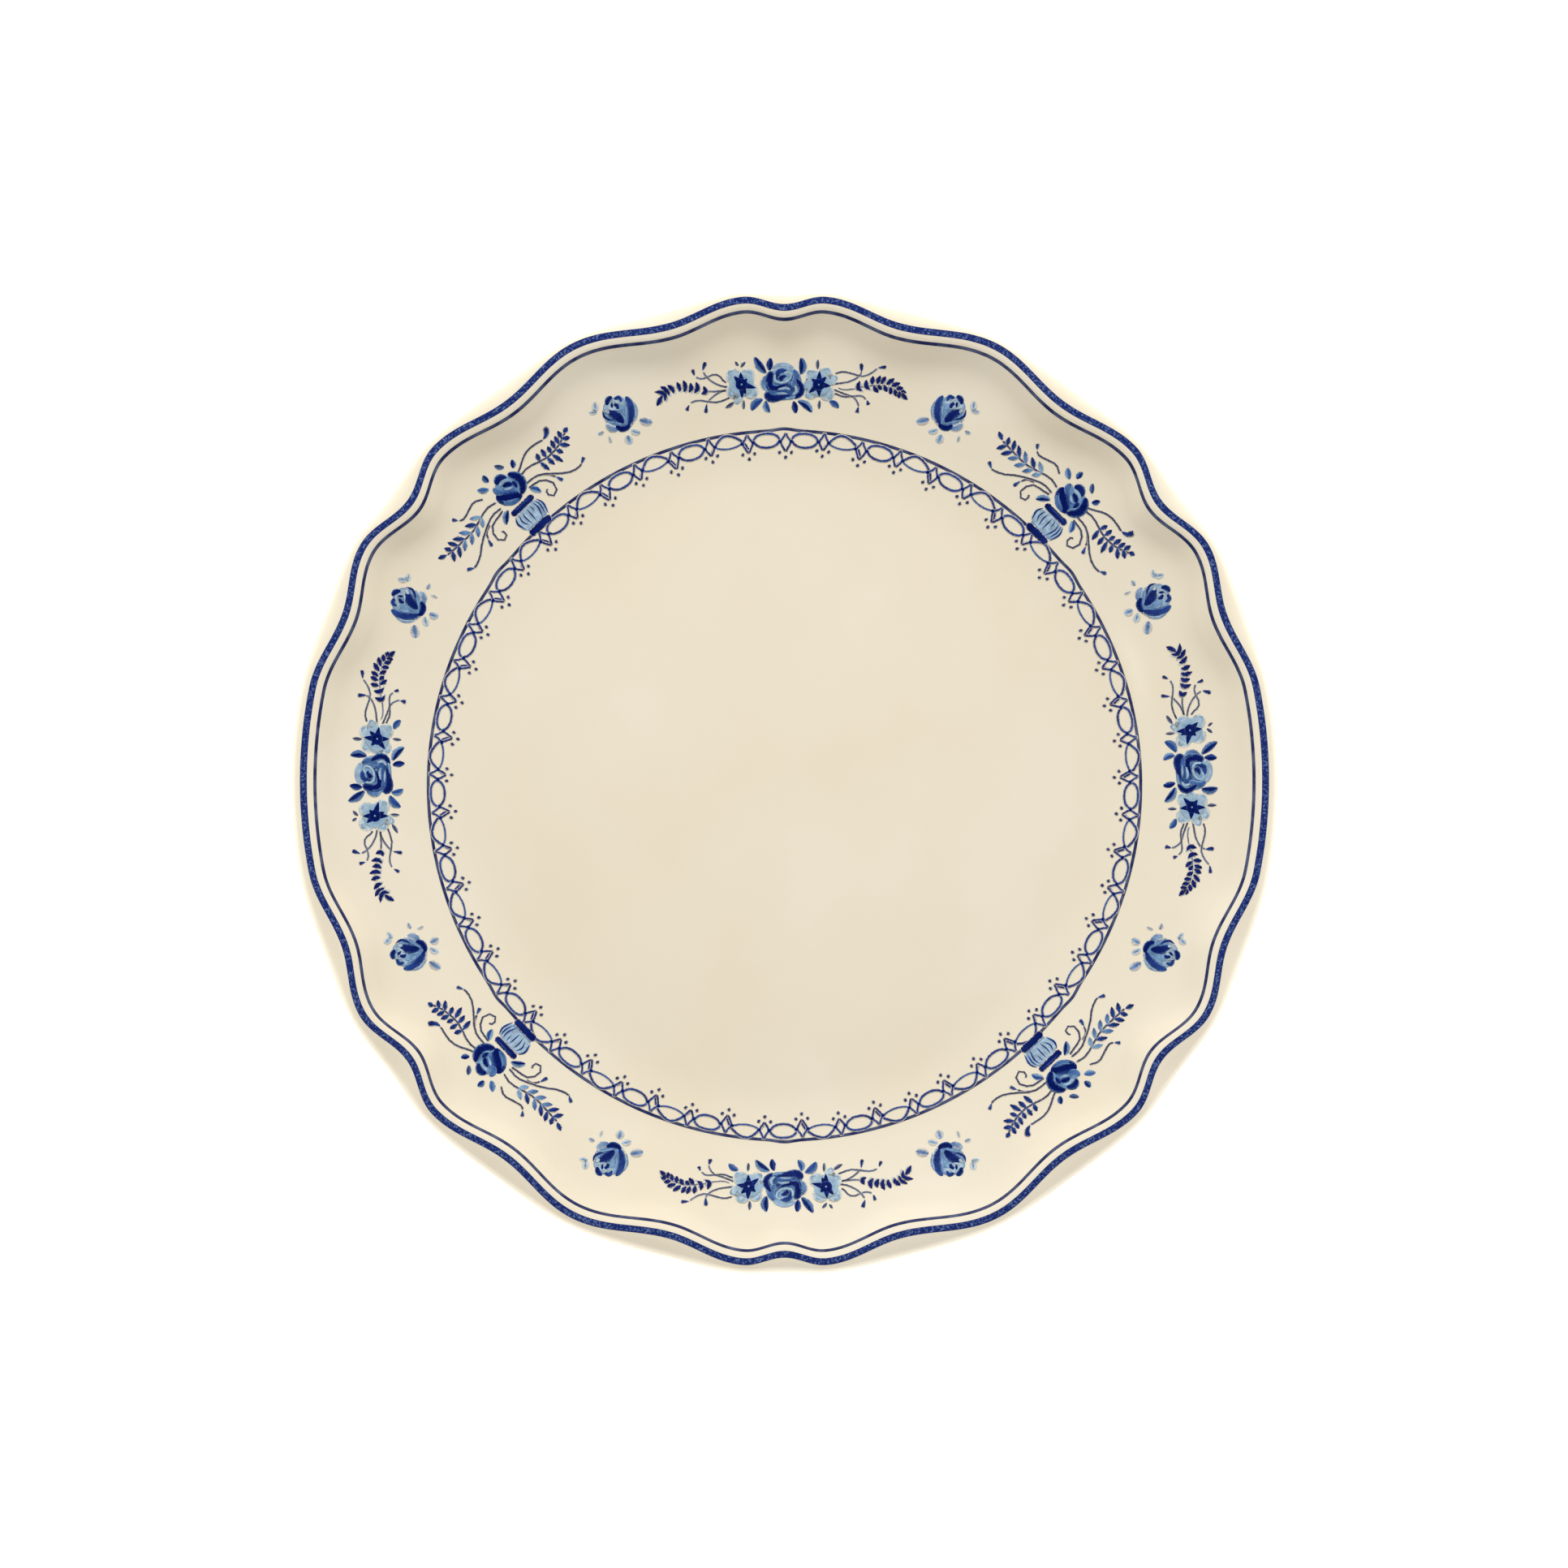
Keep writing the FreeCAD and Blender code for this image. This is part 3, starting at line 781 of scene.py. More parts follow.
@dataclass(frozen=True)
class Stroke:
    """One mark of the brush on a flat motif, in millimetres: X clockwise and Y outwards."""

    brush: Brush
    half: float
    inks: tuple[Ink, Ink]
    path: tuple[Point, ...]
    layer: int = 2
    under: Ink | None = None
    soft: float = 0.35
    cells: tuple[int, int] = (12, 4)
    closed: bool = False

    def spine(self, along: np.ndarray) -> tuple[np.ndarray, np.ndarray]:
        """Gives the stroke's middle line and its left-hand normals.

        Args:
            along: Places from 0 to 1 by length.

        Returns:
            Points and unit normals.
        """
        knots = np.array(self.path, float)
        if len(knots) > 2:
            ring = np.vstack([knots[-2:-1], knots, knots[1:2]]) if self.closed else np.vstack(
                [2.0 * knots[0] - knots[1], knots, 2.0 * knots[-1] - knots[-2]])
            fine, steps = [], np.linspace(0.0, 1.0, 12, endpoint=False)[:, None]
            for a, b, c, d in zip(ring, ring[1:], ring[2:], ring[3:]):
                fine.append(0.5 * (2 * b + (c - a) * steps + (2 * a - 5 * b + 4 * c - d) * steps**2
                                   + (3 * b - a - 3 * c + d) * steps**3))
            knots = np.vstack(fine + [knots[-1:]])
        lengths = np.concatenate([[0.0], np.cumsum(np.hypot(*np.diff(knots, axis=0).T))])
        place = along * lengths[-1]
        middle = np.column_stack([np.interp(place, lengths, knots[:, axis]) for axis in (0, 1)])
        tangent = np.gradient(middle, axis=0)
        if self.closed:
            tangent[0] = tangent[-1] = middle[1] - middle[-2]
        tangent /= np.maximum(np.hypot(*tangent.T), 1e-9)[:, None]
        return middle, np.column_stack([-tangent[:, 1], tangent[:, 0]])

    def length(self) -> float:
        """Gives the length of the straight runs between the path's points."""
        return float(np.sum(np.hypot(*np.diff(np.array(self.path), axis=0).T)))

    def draw(self):
        """Makes the stroke's flat mesh from a grid, its inks stored at its vertices.

        Returns:
            The mesh object, lying at the height of its layer.
        """
        run, across = self.cells
        deselect()
        bpy.ops.mesh.primitive_grid_add(x_subdivisions=run, y_subdivisions=across, size=2.0 * MM)
        mark = bpy.context.object
        grid = points_of(mark)
        column = np.rint((grid[:, 0] + 1.0) / 2.0 * run).astype(int)
        side = np.clip(grid[:, 1], -1.0, 1.0)
        even = np.linspace(0.0, 1.0, run + 1)
        along = even - (0.0 if self.closed else END_CROWDING) * np.sin(2.0 * np.pi * even)
        end = min(0.5, self.half / max(self.length(), 1e-6))
        middle, normal = self.spine(along)
        width = np.ones(run + 1) if self.closed else self.brush.width(along, end)
        wide = (self.half * width)[column] * side
        lift = np.full(len(grid), LOWEST_LIFT + LAYER_STEP * self.layer)
        place_points(mark, np.column_stack([middle[column] + normal[column] * wide[:, None], lift]))
        self.ink_mesh(mark, along[column], side, end)
        return mark

    def ink_mesh(self, mark, along: np.ndarray, side: np.ndarray, end: float) -> None:
        """Stores the inks, how near the rim each vertex is, what lies under and the softness.

        Args:
            mark: The stroke's mesh.
            along: Each vertex's place along the stroke.
            side: Its place across, from -1 to 1.
            end: Length of a round end, as a share of the stroke's.
        """
        start, stop = (np.array(linear(ink.value)[:3]) for ink in self.inks)
        ink = start + (stop - start) * along[:, None]
        tip = 1.0 - np.clip(np.minimum(along, 1.0 - along) / max(end, 1e-3), 0.0, 1.0)
        if self.closed or self.brush in (Brush.LEAF, Brush.PETAL):
            tip = tip * 0.0
        rim = np.maximum(np.abs(side), tip)
        paint(mark, "ink", np.column_stack([ink, rim]))
        under = np.array(linear((self.under or Ink.CREAM).value)[:3])
        shown = np.full(len(side), 0.0 if self.under is None else 1.0)
        paint(mark, "under", np.column_stack([np.tile(under, (len(side), 1)), shown]))
        paint(mark, "edge", np.tile([self.soft, 0.0, 0.0, 1.0], (len(side), 1)))


def disc(centre: Point, across: float, tall: float, ink: Ink, layer: int = 0,
         under: Ink | None = None, soft: float = 0.4) -> Stroke:
    """Gives a round dab of wash.

    Args:
        centre: Its middle.
        across: Half its width.
        tall: Half its height.
        ink: Its ink.
        layer: Its layer.
        under: What it fades into, where that isn't the cream ground.
        soft: How far in from its rim it fades.

    Returns:
        The stroke.
    """
    x, y = centre
    path = ((x - across, y), (x + across, y))
    return Stroke(Brush.BLOB, tall, (ink, ink), path, layer, under, soft, (10, 6))


@dataclass(frozen=True)
class Place:
    """Where a motif stands on the rim: degrees round, millimetres out, and which way round."""

    node: str
    angle: float
    radius: float
    mirrored: bool = False

    def on_plan(self, flat: np.ndarray) -> np.ndarray:
        """Moves a flat motif's points to their place on the plate's plan.

        Args:
            flat: Rows of X clockwise and Y outwards.

        Returns:
            Rows of X and Y on the plan.
        """
        turn = math.radians(self.angle)
        out = np.array([math.cos(turn), math.sin(turn)])
        clockwise = np.array([math.sin(turn), -math.cos(turn)])
        sign = -1.0 if self.mirrored else 1.0
        return out * (self.radius + flat[:, 1:2]) + clockwise * sign * flat[:, 0:1]


@dataclass
class PrintedMotif:
    """A motif drawn once, flat, and laid on the glazed face at each of its places."""

    face: GlazedFace
    thickness: float = 0.1

    def draw(self, strokes: tuple[Stroke, ...]):
        """Draws every stroke and joins them into one flat drawing.

        Args:
            strokes: The strokes, in any order.

        Returns:
            The flat drawing.
        """
        marks = [stroke.draw() for stroke in strokes]
        pick(*marks)
        if len(marks) > 1:
            bpy.ops.object.join()
        return bpy.context.object

    def lay(self, drawing, places: tuple[Place, ...]):
        """Lays copies of a flat drawing on the face as one piece.

        Args:
            drawing: The flat drawing, which is kept.
            places: Where the copies go.

        Returns:
            The mesh object, with its thickness.
        """
        flat = points_of(drawing)
        copies = []
        for place in places:
            copy = drawing.copy()
            copy.data = drawing.data.copy()
            bpy.context.scene.collection.objects.link(copy)
            place_points(copy, self.face.lay(place.on_plan(flat), flat[:, 2]))
            if place.mirrored:
                copy.data.flip_normals()
            copies.append(copy)
        pick(*copies)
        if len(copies) > 1:
            bpy.ops.object.join()
        piece = bpy.context.object
        bpy.ops.object.shade_smooth()
        apply_modifier(piece, "SOLIDIFY", thickness=self.thickness * MM, offset=-1.0)
        return piece


# ------------------------------------------------------------------ the bands and lines


@dataclass
class PrintedRings:
    """The broad band and thin line that follow the lobes, and the line round the well."""

    face: GlazedFace
    band_half: float = 0.95
    line_half: float = 0.43
    line_inset: float = 3.15
    well_line: float = 97.75
    well_line_half: float = 0.42
    notches: tuple[float, ...] = (-90.0, -143.4, -36.6, 36.6, 90.0, 143.4)
    notch_bump: float = 0.5
    notch_width: float = 1.8
    steps: int = 1152
    rows: int = 6
    row_growth: float = 1.01
    start_radius: float = 100.0
    lift: float = 0.05
    thickness: float = 0.1

    def build(self, band, line) -> None:
        """Makes the three rings.

        Args:
            band: The speckled band's material.
            line: The thin lines' material.
        """
        form = self.face.form
        turn = np.arange(self.steps) * 360.0 / self.steps
        crest = form.crest_radius + form.wave(turn)
        off = np.abs((turn[:, None] - np.array(self.notches) + 180.0) % 360.0 - 180.0)
        bumps = self.notch_bump * np.exp(-((off / self.notch_width) ** 2))
        well = self.well_line + bumps.sum(axis=1)
        for name, middle, half, finish, node in (
            ("printed_edge_band", crest, self.band_half, band, "edge_band_print"),
            ("printed_edge_line", crest - self.line_inset, self.line_half, line, "edge_line_print"),
            ("printed_well_line", well, self.well_line_half, line, "well_line_print"),
        ):
            ring = self.ring(turn, middle, half)
            finish_piece(ring, name, finish, "cobalt_print", node)

    def ring(self, turn: np.ndarray, middle: np.ndarray, half: float):
        """Makes one ring: a circle extruded outwards in steps, then laid on the face.

        Args:
            turn: Angles of its points, in degrees.
            middle: Plan radius of its middle at each angle.
            half: Half its width.

        Returns:
            The mesh object.
        """
        deselect()
        bpy.ops.mesh.primitive_circle_add(vertices=self.steps, radius=self.start_radius * MM)
        ring = bpy.context.object
        bpy.ops.object.mode_set(mode="EDIT")
        bpy.ops.mesh.select_all(action="SELECT")
        for _ in range(self.rows):
            bpy.ops.mesh.extrude_edges_move()
            bpy.ops.transform.resize(value=(self.row_growth, self.row_growth, 1.0))
        bpy.ops.object.mode_set(mode="OBJECT")
        points = points_of(ring)
        reach, angle = np.hypot(points[:, 0], points[:, 1]), np.arctan2(points[:, 1], points[:, 0])
        row = np.rint(np.log(reach / self.start_radius) / np.log(self.row_growth))
        side = 2.0 * row / self.rows - 1.0
        around, closed = np.append(turn, 360.0), np.append(middle, middle[0])
        centre = np.interp(np.degrees(angle) % 360.0, around, closed)
        radius = centre + half * side
        plan = np.column_stack([radius * np.cos(angle), radius * np.sin(angle)])
        place_points(ring, self.face.lay(plan, self.lift))
        layer = ring.data.attributes.new("side", "FLOAT", "POINT")
        layer.data.foreach_set("value", side.astype(np.float32))
        self.face_up(ring)
        apply_modifier(ring, "SOLIDIFY", thickness=self.thickness * MM, offset=-1.0)
        return ring

    def face_up(self, ring) -> None:
        """Turns a ring's faces upwards."""
        if ring.data.polygons[0].normal.z < 0.0:
            ring.data.flip_normals()


# ------------------------------------------------------------------ the lace border


@dataclass
class LaceBorder(PrintedMotif):
    """Two kinds of diamond in turn inside the well line, with loops between and dots below."""

    cells: int = 57
    first_angle: float = 89.8
    line_radius: float = 97.75
    pitch: float = 10.68

    def build(self, finish) -> None:
        """Draws each kind of mark once and lays it round the border.

        Args:
            finish: The wash's material.
        """
        diamonds = [self.draw(self.diamond(deep)) for deep in (5.8, 4.95)]
        loops = [self.draw(self.oval()), self.draw(self.arch())]
        pieces = []
        for kind in (0, 1):
            pieces.append(self.lay(diamonds[kind], self.places(range(kind, self.cells, 2), 0.0)))
            pieces.append(self.lay(loops[kind], self.places(self.loop_cells(kind), 0.5)))
        for drawing in diamonds + loops:
            bpy.data.objects.remove(drawing)
        pick(*pieces)
        bpy.ops.object.join()
        finish_piece(bpy.context.object, "lace_border", finish, "cobalt_print", "lace_border_print")

    def loop_cells(self, kind: int) -> list[int]:
        """Gives the gaps that hold an oval (0) or an arch (1); the last, odd one is an oval."""
        return [cell for cell in range(self.cells) if cell % 2 == kind]

    def places(self, cells, shift: float) -> tuple[Place, ...]:
        """Gives places on the line for these cells, moved clockwise by a share of the pitch."""
        step = 360.0 / self.cells
        return tuple(Place("", self.first_angle - step * (cell + shift),
            self.line_radius) for cell in cells)

    def diamond(self, deep: float) -> tuple[Stroke, ...]:
        """Gives a diamond that hangs from the line, with its three dots below.

        Args:
            deep: Its lowest point below the line.

        Returns:
            Its strokes.
        """
        top, middle, half = (-0.6, -2.95, 1.4) if deep > 5.0 else (0.0, -2.6, 1.25)
        sides = []
        for side in (-1.0, 1.0):
            path = ((0.02 * side, top + 0.15), (side * half * 0.42, 0.5 * (top + middle)),
                (side * half, middle), (side * half * 0.5, 0.45 * middle - 0.55 * deep),
                (-0.05 * side, -deep))
            sides.append(Stroke(Brush.LINE, 0.43, (Ink.ROYAL, Ink.DEEP), path, 3, None, 0.7,
                (12, 2)))
            sides.append(disc((side * (half + 0.15), middle), 0.56, 0.5, Ink.NAVY, 4, Ink.ROYAL,
                0.7))
        dots = [(-1.65, -deep - 0.1), (1.6, -deep - 0.05), (0.0, -deep - 1.4)]
        return tuple(sides) + tuple(Stroke(Brush.BLOB, 0.66, (Ink.SLATE, Ink.DEEP),
            ((x - 0.6, y), (x + 0.6, y)), 1, None, 0.5, (6, 2)) for x, y in dots)

    def oval(self) -> tuple[Stroke, ...]:
        """Gives the strong loop between two diamonds, heavier along its top and bottom."""
        wide, high, low = self.pitch / 2.0 - 1.75, -0.65, -4.45
        middle = 0.5 * (high + low)
        upper = ((-wide - 0.2, middle - 0.1), (-0.8 * wide, middle + 1.15),
            (-0.35 * wide, high - 0.1), (0.35 * wide, high - 0.1), (0.8 * wide, middle + 1.15),
            (wide + 0.2, middle - 0.1))
        lower = ((-wide - 0.2, middle + 0.1), (-0.75 * wide, middle - 1.2),
            (-0.3 * wide, low + 0.05), (0.3 * wide, low + 0.05), (0.75 * wide, middle - 1.2),
            (wide + 0.2, middle + 0.1))
        return (
            Stroke(Brush.LINE, 0.5, (Ink.ROYAL, Ink.ROYAL), upper, 2, None, 0.75, (18, 2)),
            Stroke(Brush.LINE, 0.5, (Ink.DEEP, Ink.ROYAL), lower, 2, None, 0.75, (18, 2)),
            Stroke(Brush.LEAF, 0.42, (Ink.COBALT, Ink.ROYAL),
                ((-1.8, -0.6), (0.0, -0.4), (1.8, -0.6)), 1, None, 0.7, (8, 2)),
        )

    def arch(self) -> tuple[Stroke, ...]:
        """Gives the arch that springs from one diamond's foot, touches the line and comes down."""
        reach = self.pitch / 2.0
        over = ((-reach + 0.1, -4.6), (-reach + 1.2, -3.1), (-reach + 2.3, -1.7),
            (-reach + 3.5, -0.6), (-0.6, -0.15), (0.7, -0.35), (2.2, -1.05), (reach - 1.7, -2.2),
            (reach - 0.9, -3.2), (reach + 0.0, -5.2))
        below = ((-reach + 1.5, -2.9), (-2.0, -3.55), (0.0, -3.75), (2.0, -3.5),
            (reach - 1.5, -2.8))
        return (
            Stroke(Brush.LINE, 0.52, (Ink.ROYAL, Ink.DEEP), over, 2, None, 0.75, (22, 2)),
            Stroke(Brush.LINE, 0.4, (Ink.COBALT, Ink.ROYAL), below, 1, None, 0.75, (12, 2)),
        )


# ------------------------------------------------------------------ the flowers


def leaf(path: tuple[Point, ...], half: float, dark: Ink, light: Ink,
         layer: int = 2) -> tuple[Stroke, ...]:
    """Gives a leaf: a light wash with a darker half and vein over it.

    Args:
        path: Its middle line, from stalk or tip.
        half: Half its width.
        dark: Ink of the darker half.
        light: Ink of the wash.
        layer: Layer of the wash.

    Returns:
        Its strokes.
    """
    (x0, y0), (x1, y1) = path[0], path[-1]
    run = math.hypot(x1 - x0, y1 - y0)
    across, along = (-(y1 - y0) / run, (x1 - x0) / run), half * 0.38
    shifted = tuple((x + across[0] * along, y + across[1] * along) for x, y in path)
    return (
        Stroke(Brush.LEAF, half * 1.2, (light, light), path, layer),
        Stroke(Brush.LEAF, half * 0.78, (dark, dark), shifted, layer + 1, light, 0.7),
    )


def longer(paths: tuple[tuple[Point, ...], ...],
           growth: float) -> tuple[tuple[Point, ...], ...]:
    """Lengthens leaflets at their tips, which are their paths' first points.

    Args:
        paths: The leaflets' paths.
        growth: By what share of their length.

    Returns:
        The longer paths.
    """
    grown = []
    for (x0, y0), *rest in paths:
        x1, y1 = rest[-1]
        grown.append(((x0 + growth * (x0 - x1), y0 + growth * (y0 - y1)), *rest))
    return tuple(grown)


def marks(brush: Brush, half: float, start: Ink, stop: Ink, *paths: tuple[Point, ...],
          layer: int = 2,
          under: Ink | None = None, soft: float = 0.5) -> tuple[Stroke, ...]:
    """Gives one stroke along each path, all of one kind.

    Args:
        brush: How the width runs.
        half: Half the width.
        start: Ink at the start.
        stop: Ink at the end.
        paths: The paths.
        layer: Their layer.
        under: What they fade into, where that isn't the cream ground.
        soft: How far in from their rim they fade.

    Returns:
        The strokes.
    """
    return tuple(Stroke(brush, half, (start, stop), path, layer, under, soft) for path in paths)


@dataclass
class Garlands(PrintedMotif):
    """The long sprays at the four ends of the rim's axes: rose, two blossoms, ferns, tendrils."""

    places: tuple[Place, ...] = (
        Place("right", 1.67, 111.81), Place("top", 90.2, 110.36),
        Place("left", 178.73, 112.26), Place("bottom", 270.0, 111.02),
    )

    def build(self, finish) -> None:
        """Draws the garland once and lays it at its four places.

        Args:
            finish: The wash's material.
        """
        strokes = self.tendrils() + self.ferns() + self.leaves() + self.rose()
        strokes += self.blossom((-11.4, -0.2), (
            (-2.2, 2.2, 1.9), (1.5, 2.2, 2.0), (2.5, -1.8, 1.9), (-2.1, -1.8, 1.9),
                (-0.9, -3.3, 1.4)),
            ((3.0, -0.7), (-1.6, 1.7), (0.9, -2.0), (-0.2, 2.5), (0.1, -2.8), (1.2, 1.2)))
        strokes += self.blossom((9.8, -0.3), (
            (-1.8, 2.3, 1.8), (1.7, 2.7, 1.9), (3.2, 1.2, 1.5), (-2.5, 0.0, 1.6), (-2.2, -2.1, 1.7),
            (2.2, -2.3, 1.9)),
            ((0.2, 2.8), (2.5, -0.3), (0.1, -2.5), (-2.1, -1.7), (-1.5, 1.2), (1.6, 1.6)))
        drawing = self.draw(strokes)
        for place in self.places:
            piece = self.lay(drawing, (place,))
            finish_piece(piece, f"{place.node}_garland", finish, "cobalt_flower_print",
                         f"garland_{place.node}_print")
        bpy.data.objects.remove(drawing)

    def rose(self) -> tuple[Stroke, ...]:
        """Gives the open rose: pale outer petals, a light cup, dark crescents round it."""
        wash, light, dark = Ink.DUSK, Ink.MIST, Ink.NAVY
        return (
            disc((0.4, 0.9), 4.2, 4.3, Ink.SKY, 3, soft=0.25),
            disc((-0.2, -1.7), 4.7, 2.8, Ink.COBALT, 4, Ink.SKY, 0.5),
            disc((3.1, -0.2), 2.1, 3.8, Ink.COBALT, 4, Ink.SKY, 0.6),
            *marks(Brush.PETAL, 1.05, Ink.DUSK, Ink.COBALT,
                ((-5.0, -1.7), (-5.3, 0.3), (-4.5, 2.2)), layer=5),
            *marks(Brush.PETAL, 0.55, Ink.HAZE, Ink.HAZE,
                ((-3.2, 3.9), (-1.4, 4.9), (0.9, 5.0), (3.0, 4.2)), layer=5, under=Ink.HAZE),
            *marks(Brush.TAIL, 1.45, dark, dark,
                ((-2.9, 3.4), (-3.8, 1.2), (-3.4, -0.8), (-2.0, -1.2), (0.0, -0.55), (1.5, 0.1)),
                layer=6, under=Ink.DUSK),
            *marks(Brush.PETAL, 1.05, Ink.COBALT, Ink.STEEL,
                ((2.9, 3.7), (3.8, 1.8), (3.3, 0.3), (2.4, -0.8)), layer=6, under=Ink.HAZE),
            *marks(Brush.LINE, 0.32, light, light,
                ((-2.2, 2.6), (-2.3, 1.2), (-1.5, 0.35), (0.5, 0.4), (1.9, 1.3), (2.3, 2.4),
                (1.8, 3.2), (0.8, 3.0), (0.2, 2.6)), layer=8, under=wash),
            *marks(Brush.PETAL, 0.8, Ink.DEEP, Ink.ROYAL,
                ((-1.5, 1.0), (-1.5, 2.8), (-0.3, 3.5), (1.2, 3.1)), layer=7, under=wash),
            *marks(Brush.TAIL, 1.0, dark, Ink.DEEP,
                ((-1.3, 0.9), (-0.6, 1.4), (0.3, 2.0), (1.1, 1.9)), layer=9, under=wash),
            *marks(Brush.PETAL, 0.9, dark, dark,
                ((3.7, 1.2), (4.9, -0.6), (5.1, -2.0), (4.3, -3.1), (2.9, -3.9)), layer=7,
                under=Ink.DUSK),
            *marks(Brush.TAIL, 1.4, dark, Ink.DEEP,
                ((-4.7, -2.2), (-3.9, -3.6), (-2.5, -3.9), (-0.5, -3.6), (1.0, -3.3), (2.4, -3.0)),
                layer=7, under=Ink.STEEL),
            *marks(Brush.PETAL, 0.4, light, Ink.HAZE, ((-1.4, -1.5), (0.8, -1.2), (2.0, -1.6)),
                layer=8, under=Ink.STEEL),
            *marks(Brush.LEAF, 0.36, Ink.SKY, Ink.MIST, ((-2.2, -2.6), (-0.2, -2.6), (1.3, -2.7)),
                layer=8, under=Ink.STEEL),
            *marks(Brush.LEAF, 0.3, Ink.ROYAL, Ink.COBALT,
                ((-1.8, -1.95), (0.2, -1.95), (2.4, -2.2)), layer=8, under=Ink.STEEL),
            *marks(Brush.PETAL, 0.5, Ink.MIST, Ink.HAZE, ((3.3, -0.6), (3.7, -2.0), (2.6, -3.0)),
                layer=8, under=Ink.STEEL),
            *marks(Brush.PETAL, 0.4, Ink.DUSK, Ink.SKY, ((0.6, -3.9), (2.2, -3.9), (3.4, -3.4)),
                layer=8, under=Ink.STEEL),
            *marks(Brush.LEAF, 0.35, Ink.COBALT, dark, ((-4.3, 0.6), (-4.5, -0.6), (-3.9, -1.9)),
                layer=8, under=Ink.DUSK),
        )

    def blossom(self, centre: Point, lobes: tuple[tuple[float, float, float], ...],
                spikes: tuple[Point, ...]) -> tuple[Stroke, ...]:
        """Gives a pale open flower with a dark star in its middle.

        Args:
            centre: Its middle.
            lobes: Each petal's place from the middle and its radius.
            spikes: Tips of the star's spikes, from the middle.

        Returns:
            Its strokes.
        """
        x, y = centre
        strokes = [disc((x, y), 3.4, 3.4, Ink.SKY, 3, Ink.MIST, 0.8)]
        for across, out, radius in lobes:
            strokes.append(disc((x + across, y + out), radius * 1.15, radius * 1.15, Ink.MIST, 2,
                soft=0.42))
            edge = ((x + across * 1.3 - out * 0.28, y + out * 1.3 + across * 0.28),
                    (x + across * 1.55, y + out * 1.55),
                    (x + across * 1.3 + out * 0.28, y + out * 1.3 - across * 0.28))
            strokes += marks(Brush.LEAF, 0.3, Ink.SKY, Ink.SKY, edge, layer=4, under=Ink.MIST,
                soft=0.8)
        for across, out in spikes:
            spike = ((x + 0.08 * across, y + 0.08 * out), (x + 1.3 * across, y + 1.3 * out))
            strokes += marks(Brush.TAIL, 0.9, Ink.NAVY, Ink.NAVY, spike, layer=6, under=Ink.COBALT,
                soft=0.25)
        strokes.append(disc((x, y), 1.65, 1.6, Ink.NAVY, 7, Ink.ROYAL, 0.2))
        strokes.append(disc((x, y), 0.28, 0.28, Ink.SKY, 8, Ink.NAVY))
        return tuple(strokes)

    def leaves(self) -> tuple[Stroke, ...]:
        """Gives the leaves round the rose and between the blossoms."""
        return (
            *leaf(((-8.0, 7.0), (-6.7, 5.0), (-4.85, 2.65)), 0.98, Ink.NAVY, Ink.STEEL),
            *leaf(((-3.6, 6.9), (-3.7, 5.2), (-3.9, 3.5)), 0.82, Ink.NAVY, Ink.ROYAL),
            *leaf(((5.2, 2.4), (5.5, 4.6), (5.2, 6.9)), 0.98, Ink.NAVY, Ink.STEEL),
            *leaf(((9.5, 6.4), (9.45, 3.8)), 0.45, Ink.SLATE, Ink.STEM),
            *leaf(((-13.2, 5.9), (-12.3, 4.7)), 0.36, Ink.SLATE, Ink.STEM),
            *leaf(((-10.4, 5.9), (-11.7, 4.4)), 0.4, Ink.SLATE, Ink.STEM),
            *leaf(((-5.8, -3.9), (-7.6, -5.1), (-8.9, -7.0)), 1.0, Ink.ROYAL, Ink.STEEL),
            *leaf(((-5.0, -4.6), (-4.7, -6.3), (-3.9, -7.8)), 0.82, Ink.ROYAL, Ink.DUSK),
            *leaf(((2.7, -4.7), (3.2, -6.3), (3.3, -8.0)), 0.78, Ink.NAVY, Ink.ROYAL),
            *leaf(((8.1, -7.5), (6.4, -5.7), (4.2, -4.4)), 0.98, Ink.NAVY, Ink.DUSK),
            *leaf(((-15.8, -6.6), (-13.4, -5.0)), 0.48, Ink.SLATE, Ink.STEM),
            *leaf(((-10.9, -4.4), (-10.95, -6.9)), 0.44, Ink.SLATE, Ink.ASH),
            *leaf(((9.95, -4.5), (9.8, -6.9)), 0.4, Ink.SLATE, Ink.STEM),
            *leaf(((12.6, -4.9), (14.1, -5.5), (15.2, -6.7)), 0.78, Ink.ROYAL, Ink.STEEL),
        )

